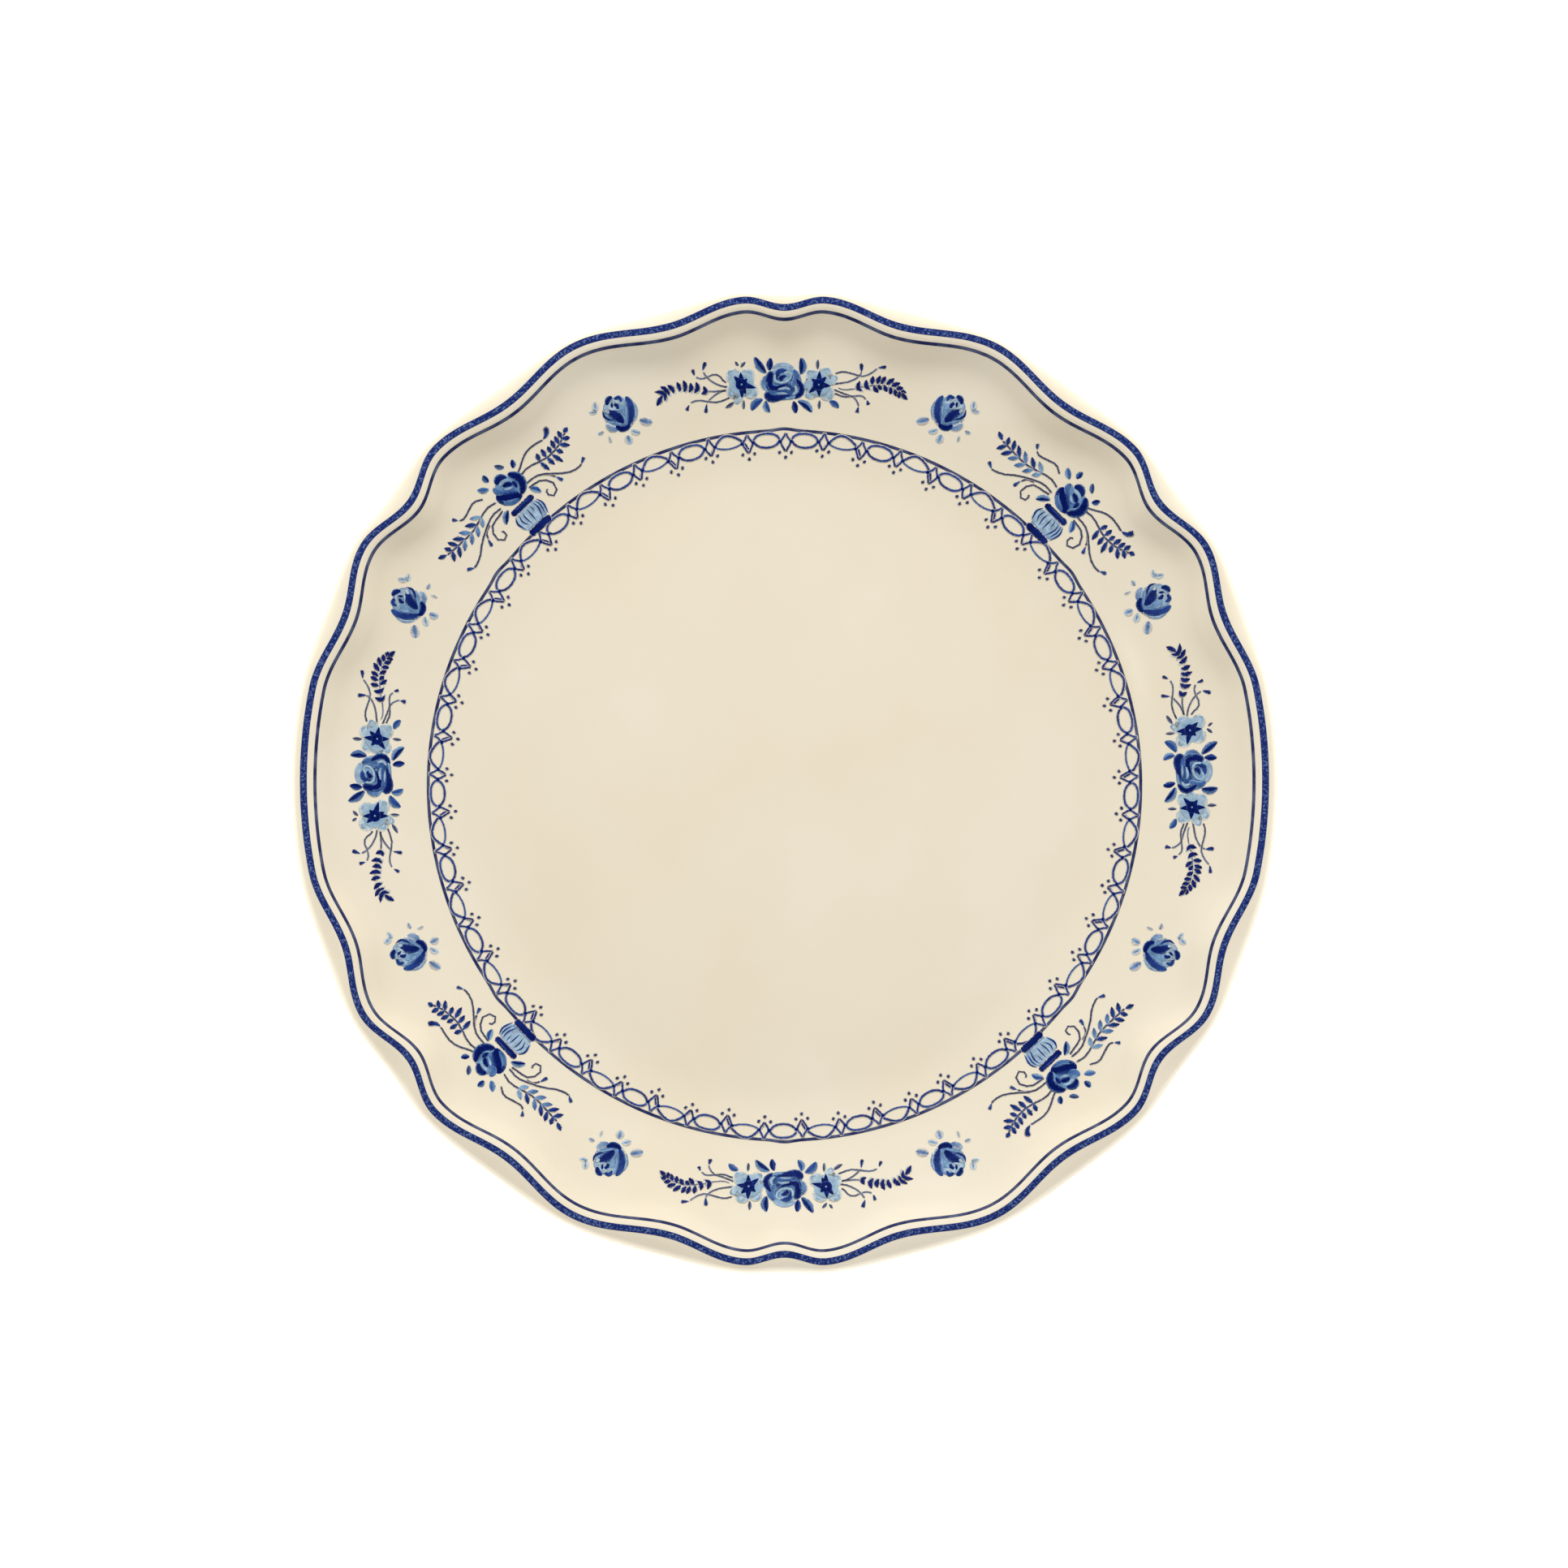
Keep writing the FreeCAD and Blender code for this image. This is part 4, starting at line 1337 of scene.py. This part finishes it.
    def tendrils(self) -> tuple[Stroke, ...]:
        """Gives the thin curling stalks at both ends, each with a bud."""
        stalk, bud = (Brush.LINE, 0.34, Ink.SLATE, Ink.STEM), (Brush.DROP, Ink.ROYAL, Ink.NAVY)
        return (
            *marks(*stalk,
                ((-13.5, -0.9), (-15.5, -0.85), (-17.0, -0.6), (-19.3, 0.4), (-21.0, 1.8),
                (-22.0, 3.2)),
                ((-15.5, 0.2), (-16.6, 1.0), (-17.5, 2.1), (-19.0, 2.5), (-20.9, 1.7), (-22.5, 1.3),
                (-24.0, 1.7)),
                ((-15.0, -1.7), (-16.5, -1.9), (-18.5, -2.9), (-20.3, -4.4), (-21.0, -5.2)),
                ((-14.5, -3.6), (-16.0, -4.3), (-18.5, -5.0), (-20.5, -4.8), (-23.5, -4.5),
                (-25.5, -5.2)), ((-15.0, -1.8), (-16.9, -1.9), (-19.0, -2.1), (-21.2, -2.0)),
                ((13.0, -0.4), (14.6, -0.1), (16.2, 0.1), (18.0, 0.4), (20.0, 1.2), (21.2, 2.2),
                (21.6, 3.2)), ((14.2, 2.6), (16.4, 3.1), (18.5, 2.7), (20.8, 2.0), (22.5, 1.9),
                (24.5, 2.8), (26.0, 3.9)),
                ((13.9, -2.6), (15.3, -3.1), (16.5, -3.6), (19.0, -3.5), (21.5, -3.4),
                (22.8, -4.4)),
                ((13.8, -1.6), (15.5, -2.3), (17.0, -2.9), (19.3, -3.7), (20.5, -5.3),
                (20.7, -6.3)), layer=1, soft=0.6),
            *marks(bud[0], 0.78, bud[1], bud[2], ((-22.1, 3.4), (-21.3, 5.9)),
                ((21.6, 2.8), (21.5, 5.4)), ((20.7, -6.2), (20.2, -8.1)), layer=2),
            *marks(bud[0], 0.68, bud[1], bud[2], ((-24.3, 2.0), (-24.9, 3.9)),
                ((-21.0, -5.3), (-21.3, -8.0)), ((26.0, 4.0), (28.5, 4.2)),
                ((23.0, -4.5), (23.5, -6.0)), ((-25.8, -5.6), (-26.6, -7.4)), layer=2),
        )

    def ferns(self) -> tuple[Stroke, ...]:
        """Gives the fern at each end: curled leaflets, each over a pale shadow of itself."""
        left = (
            ((-22.0, -1.0), (-21.3, -2.1), (-22.5, -2.8)),
                ((-24.0, 0.0), (-23.5, -1.2), (-24.4, -2.6)),
            ((-25.6, -0.2), (-25.2, -1.2), (-25.9, -2.4)),
                ((-27.4, 0.4), (-26.8, -1.0), (-27.3, -2.3)),
            ((-29.1, 0.0), (-28.4, -1.3), (-28.6, -2.2)),
                ((-31.5, -0.8), (-30.4, -1.5), (-30.0, -2.7)),
            ((-33.3, -1.2), (-32.0, -1.9), (-31.2, -3.3)),
            ((-34.9, -2.7), (-33.5, -2.4), (-32.4, -3.2), (-32.5, -4.8)),
            ((-34.4, -5.6), (-33.8, -4.3), (-33.0, -3.2)),
        )
        right = (
            ((21.2, 0.2), (20.6, -1.2), (21.8, -2.1)), ((23.1, 0.5), (22.8, -0.7), (23.9, -1.8)),
            ((24.7, 1.5), (24.4, -0.5)), ((25.9, -2.3), (24.7, -0.7)), ((26.6, 1.6), (25.8, -0.3)),
            ((26.9, -1.6), (26.0, -0.5)), ((28.0, 1.4), (26.9, -0.3)), ((28.4, -2.1), (27.7, -0.5)),
            ((30.2, 0.9), (28.3, -0.5)), ((29.5, -2.8), (29.6, -1.0)), ((31.8, -0.2), (29.7, -0.9)),
            ((31.0, -3.4), (30.7, -1.7)), ((32.7, -1.4), (31.0, -1.7)),
                ((31.8, -3.9), (32.0, -2.3)),
            ((33.6, -2.6), (32.3, -2.4)), ((33.8, -4.3), (32.2, -2.6)),
        )
        spine = ((14.9, -1.1), (16.5, -1.7), (19.0, -1.6), (21.0, -1.2), (23.0, -0.8), (26.0, -0.6),
                 (28.5, -0.9), (30.5, -1.7), (32.0, -2.4), (33.7, -4.2))
        shadow = tuple(tuple((x + 0.45, y - 0.25) for x, y in path) for path in left + right)
        return (
            *marks(Brush.LINE, 0.27, Ink.STEM, Ink.STEM, spine, layer=1, soft=0.7),
            *marks(Brush.PETAL, 0.55, Ink.MIST, Ink.FOG, *shadow, layer=0, soft=0.7),
            *marks(Brush.LEAF, 0.86, Ink.NAVY, Ink.DEEP, *longer(left, 0.2), *longer(right, 0.2),
                layer=3, soft=0.5),
        )


@dataclass
class Bouquets(PrintedMotif):
    """The four urns on the well line, each with a rose, leaves and a spray on either side."""

    places: tuple[Place, ...] = (
        Place("right", 45.0, 98.0), Place("top", 133.12, 98.0),
        Place("left", 223.56, 98.0), Place("bottom", 313.76, 98.0),
    )
    shift: float = -1.2

    def build(self, finish) -> None:
        """Draws the bouquet once and lays it at its four places.

        Args:
            finish: The wash's material.
        """
        drawing = self.draw(self.sprays() + self.leaves() + self.urn() + self.rose())
        points = points_of(drawing)
        points[:, 0] += self.shift
        place_points(drawing, points)
        for place in self.places:
            piece = self.lay(drawing, (place,))
            finish_piece(piece, f"{place.node}_bouquet", finish, "cobalt_flower_print",
                         f"bouquet_{place.node}_print")
        bpy.data.objects.remove(drawing)

    def urn(self) -> tuple[Stroke, ...]:
        """Gives the urn: a navy foot and collar with a fluted light-blue barrel between."""
        flutes = (
            (0.34, ((-2.4, 6.2), (-3.2, 4.3), (-2.5, 1.8))),
                (0.26, ((-1.3, 6.0), (-1.8, 4.0), (-1.0, 2.2))),
            (0.24, ((-0.2, 5.9), (-0.4, 4.0), (0.0, 1.8))),
                (0.24, ((1.4, 5.9), (1.4, 4.0), (1.35, 1.8))),
            (0.18, ((2.5, 5.9), (2.7, 4.9), (2.6, 3.8))),
                (0.28, ((3.8, 6.0), (4.1, 4.0), (3.2, 1.2))),
            (0.26, ((4.7, 6.0), (5.0, 4.0), (4.4, 1.5))),
                (0.3, ((5.2, 6.2), (5.9, 4.0), (5.1, 1.0))),
        )
        strokes = [
            Stroke(Brush.LINE, 2.85, (Ink.MIST, Ink.HAZE), ((-3.5, 3.7), (6.1, 3.7)), 3, None, 0.1,
                (14, 8)),
            Stroke(Brush.LINE, 1.12, (Ink.NAVY, Ink.DEEP), ((-2.7, 0.05), (5.1, 0.05)), 6, None,
                0.25, (14, 4)),
            Stroke(Brush.LINE, 0.95, (Ink.NAVY, Ink.DEEP), ((-2.8, 7.3), (5.3, 7.3)), 6, None, 0.25,
                (14, 4)),
            Stroke(Brush.LINE, 0.3, (Ink.DUSK, Ink.DUSK), ((-2.2, 1.3), (1.0, 1.1), (4.6, 1.3)), 4,
                Ink.SKY, 0.6),
            Stroke(Brush.LEAF, 0.2, (Ink.ROYAL, Ink.COBALT), ((-1.8, 7.5), (1.2, 7.65), (4.3, 7.5)),
                7, Ink.NAVY, 0.8),
        ]
        for half, path in flutes:
            strokes += marks(Brush.LEAF, half, Ink.NAVY, Ink.ROYAL, path, layer=5, under=Ink.HAZE,
                soft=0.5)
        return tuple(strokes)

    def rose(self) -> tuple[Stroke, ...]:
        """Gives the dark full rose over the urn."""
        blue, wash = Ink.COBALT, Ink.DUSK
        return (
            disc((1.6, 12.9), 4.1, 4.1, wash, 4, soft=0.2),
            disc((0.4, 11.9), 3.0, 2.8, blue, 5, wash, 0.6),
            *marks(Brush.PETAL, 1.1, Ink.NAVY, Ink.DEEP, ((-0.4, 16.1), (1.3, 16.9), (3.2, 15.8)),
                layer=6, under=wash),
            *marks(Brush.PETAL, 1.4, Ink.NAVY, Ink.NAVY,
                ((4.0, 16.2), (5.5, 13.8), (5.2, 11.5), (3.2, 9.6)), layer=7, under=wash),
            *marks(Brush.PETAL, 1.95, Ink.NAVY, Ink.NAVY,
                ((-2.5, 13.9), (-1.2, 11.9), (0.7, 10.6), (3.2, 9.7)), layer=6, under=blue),
            *marks(Brush.PETAL, 0.85, Ink.STEEL, Ink.COBALT,
                ((-1.6, 16.0), (-1.4, 14.4), (-0.2, 13.2)), layer=7, under=wash),
            *marks(Brush.PETAL, 0.6, Ink.MIST, Ink.SKY, ((0.1, 15.5), (2.0, 15.3), (3.5, 14.7)),
                layer=8, under=wash),
            *marks(Brush.PETAL, 0.75, Ink.NAVY, Ink.NAVY, ((0.7, 14.6), (2.0, 14.3), (3.1, 13.4)),
                layer=8, under=blue),
            *marks(Brush.LEAF, 0.45, Ink.MIST, Ink.SKY, ((0.3, 13.9), (1.7, 13.0), (2.8, 12.7)),
                layer=9, under=blue),
            *marks(Brush.PETAL, 0.65, Ink.DEEP, Ink.NAVY, ((3.6, 13.9), (3.7, 11.6)), layer=9,
                under=blue),
            *marks(Brush.LEAF, 0.28, Ink.DUSK, Ink.SKY,
                ((4.35, 13.2), (4.1, 12.0), (3.1, 11.0), (2.9, 10.0)), layer=10, under=blue),
            *marks(Brush.PETAL, 0.8, Ink.STEEL, Ink.COBALT, ((-2.2, 11.2), (-0.4, 9.8), (1.8, 9.1)),
                layer=7, under=wash),
            *marks(Brush.LEAF, 0.26, Ink.DUSK, Ink.STEEL, ((-2.2, 12.0), (-0.6, 10.3), (1.6, 9.4)),
                layer=9, under=Ink.DEEP),
        )

    def leaves(self) -> tuple[Stroke, ...]:
        """Gives the leaves round the rose."""
        return (
            *leaf(((-5.4, 18.3), (-2.8, 16.4)), 0.78, Ink.COBALT, Ink.DUSK),
            *leaf(((-1.6, 20.4), (-1.6, 18.0)), 0.76, Ink.DEEP, Ink.STEEL),
            *leaf(((2.6, 20.1), (3.3, 19.2), (4.4, 18.0)), 0.64, Ink.SLATE, Ink.STEEL),
            *leaf(((6.3, 16.2), (7.7, 18.1)), 0.7, Ink.NAVY, Ink.COBALT),
            *leaf(((-2.7, 9.2), (-4.2, 8.2), (-5.8, 6.6)), 0.84, Ink.NAVY, Ink.DUSK),
            *leaf(((5.7, 9.2), (6.9, 8.0), (7.4, 6.4)), 0.8, Ink.ROYAL, Ink.SKY),
        )

    def sprays(self) -> tuple[Stroke, ...]:
        """Gives the fern, the budded stalks and the curl on each side."""
        stalks = (
            ((-14.6, 15.9), (-13.3, 15.35), (-11.0, 16.0), (-8.5, 16.8), (-7.2, 16.5),
                (-5.6, 15.6)),
            ((-3.4, 12.6), (-6.5, 13.2), (-9.5, 12.5), (-12.0, 11.6), (-15.0, 11.1), (-19.0, 11.1),
                (-23.5, 11.2)),
            ((-3.4, 10.6), (-6.5, 10.8), (-9.0, 10.0), (-13.5, 7.6), (-16.5, 5.2), (-19.0, 4.0),
                (-20.5, 3.7)),
            ((-9.0, 9.4), (-11.0, 8.6), (-12.0, 6.9)),
            ((-3.6, 9.9), (-6.3, 9.3), (-8.3, 9.0), (-9.7, 7.5), (-10.2, 5.5), (-9.5, 4.2),
                (-8.5, 3.8), (-7.4, 4.5), (-7.5, 5.6), (-8.0, 6.1)),
            ((5.9, 14.4), (7.8, 15.2), (9.5, 16.2), (11.5, 17.0), (13.5, 17.2), (16.0, 16.8),
                (17.6, 16.4)),
            ((5.9, 13.4), (7.8, 13.7), (9.5, 13.8), (12.0, 13.0), (15.0, 12.2), (18.0, 12.2),
                (20.5, 12.7), (22.5, 13.5), (24.7, 14.4)),
            ((5.6, 10.9), (7.6, 10.8), (8.9, 10.7), (11.0, 9.9), (13.5, 7.8), (16.0, 5.8),
                (18.0, 4.8), (20.0, 4.5), (21.2, 4.7)),
            ((11.2, 9.6), (12.6, 8.2), (13.3, 6.8)),
            ((5.6, 9.6), (9.0, 9.1), (10.3, 8.4), (11.5, 6.8), (11.7, 5.2), (10.9, 3.9), (9.8, 3.4),
                (8.8, 4.0), (8.5, 5.0), (8.9, 5.9), (9.6, 5.8)),
        )
        dark = (
            ((-22.4, 12.7), (-21.5, 11.1)), ((-22.7, 9.1), (-21.5, 11.1)),
                ((-20.6, 13.1), (-19.3, 11.1)),
            ((-20.7, 8.9), (-19.2, 11.1)), ((-25.3, 12.0), (-23.4, 11.3)),
                ((20.4, 14.5), (20.0, 12.6)),
            ((21.6, 10.9), (19.9, 12.6)), ((22.0, 15.0), (21.6, 13.2)),
                ((23.0, 12.2), (21.4, 13.3)),
            ((18.9, 14.4), (18.3, 12.4)), ((19.1, 10.6), (18.3, 12.2)), ((17.4, 9.2), (16.6, 12.0)),
            ((-13.8, 13.3), (-11.6, 11.9)), ((17.1, 13.9), (16.7, 12.3)),
                ((15.3, 14.4), (15.0, 12.4)),
            ((15.3, 10.0), (15.0, 12.2)), ((23.4, 14.1), (24.8, 14.4)),
                ((-18.7, 12.9), (-16.6, 11.2)),
            ((13.5, 14.5), (12.9, 12.8)), ((13.2, 10.0), (12.8, 12.6)),
        )
        middle = (
            ((-18.5, 9.3), (-16.8, 11.1)), ((-13.2, 9.6), (-11.7, 11.6)),
                ((-16.3, 13.0), (-14.2, 11.2)),
            ((-15.9, 9.2), (-14.2, 11.1)),
        )
        pale = (
            ((-11.5, 13.9), (-9.2, 12.6)), ((-10.6, 10.6), (-9.3, 12.4)),
        )
        return (
            *marks(Brush.LINE, 0.4, Ink.SLATE, Ink.SLATE, *stalks, layer=1, soft=0.7),
            *marks(Brush.LEAF, 0.84, Ink.NAVY, Ink.ROYAL, *longer(dark, 0.3), layer=2, soft=0.5),
            *marks(Brush.LEAF, 0.8, Ink.COBALT, Ink.DUSK, *longer(middle, 0.3), layer=2, soft=0.5),
            *marks(Brush.LEAF, 0.8, Ink.DUSK, Ink.SKY, *longer(pale, 0.3), layer=2, soft=0.5),
            *marks(Brush.DROP, 0.72, Ink.COBALT, Ink.DEEP, ((-14.6, 15.9), (-15.9, 17.4)),
                ((-20.0, 3.7), (-22.2, 4.8)), ((-12.0, 7.1), (-12.6, 4.6)),
                ((13.3, 6.9), (14.2, 4.7)), ((20.8, 4.6), (22.8, 5.6)), layer=2),
            *marks(Brush.DROP, 1.1, Ink.ROYAL, Ink.NAVY, ((17.4, 16.4), (19.2, 16.9), (20.5, 18.6)),
                layer=2),
        )


@dataclass
class Rosebuds(PrintedMotif):
    """The eight single rosebuds between the garlands and the bouquets, half of them mirrored."""

    places: tuple[Place, ...] = (
        Place("top_left", 113.93, 111.59), Place("top_right", 66.16, 111.76, True),
        Place("right_upper", 26.42, 113.11), Place("right_lower", 335.55, 112.99),
        Place("bottom_right", 293.5, 112.69), Place("bottom_left", 245.22, 113.82, True),
        Place("left_lower", 204.43, 112.57, True), Place("left_upper", 154.49, 114.3, True),
    )

    def build(self, finish) -> None:
        """Draws the rosebud once and lays it at its eight places.

        Args:
            finish: The wash's material.
        """
        drawing = self.draw(self.leaves() + self.bud())
        for place in self.places:
            piece = self.lay(drawing, (place,))
            finish_piece(piece, f"{place.node}_rosebud", finish, "cobalt_flower_print",
                         f"rosebud_{place.node}_print")
        bpy.data.objects.remove(drawing)

    def bud(self) -> tuple[Stroke, ...]:
        """Gives the half-open bud: broad dark petals round a lighter heart."""
        wash = Ink.DUSK
        return (
            disc((0.0, -0.1), 4.5, 4.6, wash, 3, soft=0.25),
            disc((-0.4, 2.6), 3.3, 2.1, Ink.MIST, 4, wash, 0.6),
            *marks(Brush.PETAL, 1.15, Ink.ROYAL, Ink.DEEP,
                ((3.4, 3.6), (3.7, 1.0), (2.7, -1.8), (1.1, -3.7)), layer=5, under=wash),
            *marks(Brush.PETAL, 0.4, Ink.DUSK, Ink.SKY, ((4.8, 1.4), (4.7, -1.0), (3.3, -3.4)),
                layer=6),
            *marks(Brush.PETAL, 0.9, Ink.SKY, Ink.DUSK, ((0.7, 2.2), (1.4, 0.5), (1.0, -0.6)),
                layer=6, under=wash),
            *marks(Brush.LEAF, 0.4, Ink.HAZE, Ink.DUSK, ((2.2, 1.7), (2.0, 0.0), (1.0, -1.6)),
                layer=7, under=Ink.COBALT),
            *marks(Brush.PETAL, 1.5, Ink.DEEP, Ink.NAVY,
                ((-2.7, 1.8), (-1.3, 0.2), (-0.5, -1.4), (-0.2, -2.8)), layer=6, under=wash),
            *marks(Brush.LEAF, 0.4, Ink.DEEP, Ink.DEEP,
                ((-3.9, 2.7), (-4.2, 1.0), (-3.3, -0.3), (-2.0, -1.0)), layer=7, under=wash),
            *marks(Brush.LEAF, 0.3, Ink.SKY, Ink.DUSK,
                ((-4.4, -0.1), (-2.6, -1.4), (-0.8, -2.6), (0.4, -3.3)), layer=8, under=Ink.DEEP),
            *marks(Brush.LEAF, 0.28, Ink.DUSK, Ink.SKY, ((0.5, -3.1), (0.8, -1.2), (0.2, 0.6)),
                layer=8, under=Ink.ROYAL),
            *marks(Brush.PETAL, 1.0, Ink.HAZE, Ink.STEEL,
                ((-4.7, -1.2), (-3.7, -2.8), (-2.1, -3.7)), layer=5),
            *marks(Brush.PETAL, 0.9, Ink.NAVY, Ink.NAVY,
                ((-2.3, -2.6), (-1.2, -3.9), (0.6, -4.1), (1.3, -3.5)), layer=7, under=Ink.STEEL),
            *marks(Brush.PETAL, 0.78, Ink.NAVY, Ink.DEEP, ((-2.4, 3.5), (-1.4, 4.7), (-0.1, 5.0)),
                layer=6, under=wash),
            *marks(Brush.PETAL, 0.62, Ink.DEEP, Ink.ROYAL, ((0.2, 4.2), (1.6, 4.0), (1.8, 2.7)),
                layer=6, under=wash),
            *marks(Brush.LEAF, 0.42, Ink.NAVY, Ink.NAVY, ((-0.8, 3.6), (-1.3, 2.2)), layer=7,
                under=wash),
            *marks(Brush.PETAL, 0.6, Ink.NAVY, Ink.DEEP, ((-0.4, 3.0), (0.2, 2.2), (0.0, 1.3)),
                layer=7, under=wash),
            *marks(Brush.LEAF, 0.36, Ink.FOG, Ink.MIST, ((-0.4, 4.3), (0.4, 3.4), (1.1, 2.2)),
                ((-2.7, 3.1), (-1.8, 2.2), (-0.6, 1.4)), layer=8, under=Ink.ROYAL),
            *marks(Brush.PETAL, 0.55, Ink.FOG, Ink.MIST, ((-3.3, 2.4), (-2.6, 1.2)), layer=8,
                under=Ink.ROYAL),
        )

    def leaves(self) -> tuple[Stroke, ...]:
        """Gives the soft leaves round the bud."""
        pale = (
            (0.7, Ink.MIST, Ink.HAZE, ((-5.0, 5.6), (-5.9, 3.1))),
                (0.52, Ink.MIST, Ink.SKY, ((-7.7, 3.5), (-5.5, 2.9))),
            (0.47, Ink.HAZE, Ink.STEM, ((-7.8, -2.8), (-6.0, -2.7))),
                (0.38, Ink.FOG, Ink.ASH, ((-5.2, -4.3), (-5.3, -6.3))),
            (0.85, Ink.DUSK, Ink.HAZE, ((-0.4, -6.1), (-0.6, -8.7))),
                (0.72, Ink.MIST, Ink.HAZE, ((0.9, -5.3), (3.1, -7.0))),
            (0.9, Ink.STEEL, Ink.DUSK, ((4.3, -3.7), (7.3, -5.7))),
        )
        strokes = []
        for half, start, stop, path in pale:
            strokes.append(Stroke(Brush.PETAL, half * 1.5, (start, stop), path, 1, None, 0.95))
            (x0, y0), (x1, y1) = path
            vein = ((x0 * 0.8 + x1 * 0.2, y0 * 0.8 + y1 * 0.2),
                (x0 * 0.25 + x1 * 0.75, y0 * 0.25 + y1 * 0.75))
            strokes.append(Stroke(Brush.LEAF, half * 0.35, (Ink.STEEL, Ink.DUSK), vein, 2, start,
                0.8))
        return tuple(strokes)


# ------------------------------------------------------------------ the studio


@dataclass
class Studio:
    """A white table, a soft sky, a key light behind the plate and the camera nearly overhead."""

    azimuth: float = 0.0
    elevation: float = 84.7
    distance: float = 6.0
    lens: float = 502.2
    target: tuple[float, float, float] = (-0.00013, 0.0, 0.012)
    key: float = 2.0
    glint: float = 0.02
    sky: float = 0.14
    horizon: float = 1.3
    glow: float = 1.05
    table_size: float = 8.0
    lamp_distance: float = 2.0

    def build(self) -> None:
        """Sets the table, the lights and the camera."""
        self.table()
        self.sky_light()
        self.lamps()
        self.camera()

    def table(self) -> None:
        """Adds the white table, a little lit from within so that it stays white."""
        deselect()
        bpy.ops.mesh.primitive_plane_add(size=self.table_size)
        floor = bpy.context.object
        floor.name = "table"
        material, tree, output = new_material("white_table")
        matt = add_node(tree, "ShaderNodeBsdfDiffuse", {"Color": linear("#f4f4f4")})
        glow = add_node(
            tree, "ShaderNodeEmission", {"Color": linear("#ffffff"), "Strength": self.glow},
        )
        both = add_node(tree, "ShaderNodeAddShader",
            links={0: (matt, "BSDF"), 1: (glow, "Emission")})
        tree.links.new(both.outputs["Shader"], output.inputs["Surface"])
        floor.data.materials.append(material)

    def sky_light(self) -> None:
        """Lights the room from a sky that is bright low down and dim overhead."""
        world = bpy.data.worlds.new("studio")
        bpy.context.scene.world = world
        world.use_nodes = True
        tree = world.node_tree
        tree.nodes.clear()
        place = add_node(tree, "ShaderNodeTexCoord")
        height = add_node(tree, "ShaderNodeSeparateXYZ", links={"Vector": (place, "Generated")})
        shade = add_node(
            tree, "ShaderNodeMapRange", {"To Min": self.horizon, "To Max": self.sky},
            {"Value": (height, "Z")},
        )
        glow = add_node(tree, "ShaderNodeBackground", {"Color": (1.0, 1.0, 1.0, 1.0)},
            {"Strength": (shade, "Result")},)
        output = add_node(tree, "ShaderNodeOutputWorld")
        tree.links.new(glow.outputs["Background"], output.inputs["Surface"])
        world.cycles_visibility.glossy = False

    def lamps(self) -> None:
        """Adds the big key light, high behind the plate, and a small lamp that gives the glints."""
        for name, azimuth, elevation, size, power, glossy in (
            ("key", 90.0, 50.0, 0.9, self.key, False),
            ("glint", 186.0, 66.0, 0.12, self.glint, True),
        ):
            turn, lift = math.radians(azimuth), math.radians(elevation)
            way = np.array([math.cos(lift) * math.cos(turn), math.cos(lift) * math.sin(turn),
                math.sin(lift)])
            bpy.ops.object.light_add(type="AREA", location=tuple(way * self.lamp_distance))
            lamp = bpy.context.object
            lamp.name = name
            lamp.data.size = size
            lamp.data.energy = power * math.pi * self.lamp_distance**2
            lamp.rotation_euler = (0.0, math.pi / 2.0 - lift, turn)
            lamp.visible_glossy = glossy

    def camera(self) -> None:
        """Adds the camera, aimed at the middle of the plate."""
        turn, lift = math.radians(self.azimuth - 90.0), math.radians(self.elevation)
        way = np.array([math.cos(lift) * math.cos(turn), math.cos(lift) * math.sin(turn),
            math.sin(lift)])
        bpy.ops.object.camera_add(location=tuple(np.array(self.target) + way * self.distance))
        camera = bpy.context.object
        camera.rotation_euler = (math.pi / 2.0 - lift, 0.0, math.radians(self.azimuth))
        camera.data.lens = self.lens
        camera.data.clip_end = 100.0
        bpy.context.scene.camera = camera
        bpy.context.scene.view_settings.view_transform = "Standard"


def main() -> None:
    """Builds the plate piece by piece, then the studio."""
    logging.basicConfig(level=logging.INFO, format="%(name)s: %(message)s")
    form = PlateForm()
    face = GlazedFace(form)
    glaze, clay, wash = CreamGlaze().material(), BareClay().material(), CobaltWash().material()
    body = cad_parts["bisque_body"]
    body.data.materials.clear()
    body.data.materials.append(clay)
    GlazeSkins(form).build(glaze)
    PrintedRings(face).build(SpeckledBand().material(), PrintedLine().material())
    LaceBorder(face).build(wash)
    Garlands(face).build(wash)
    Bouquets(face).build(wash)
    Rosebuds(face).build(wash)
    Studio().build()


if __name__ == "__main__":
    main()
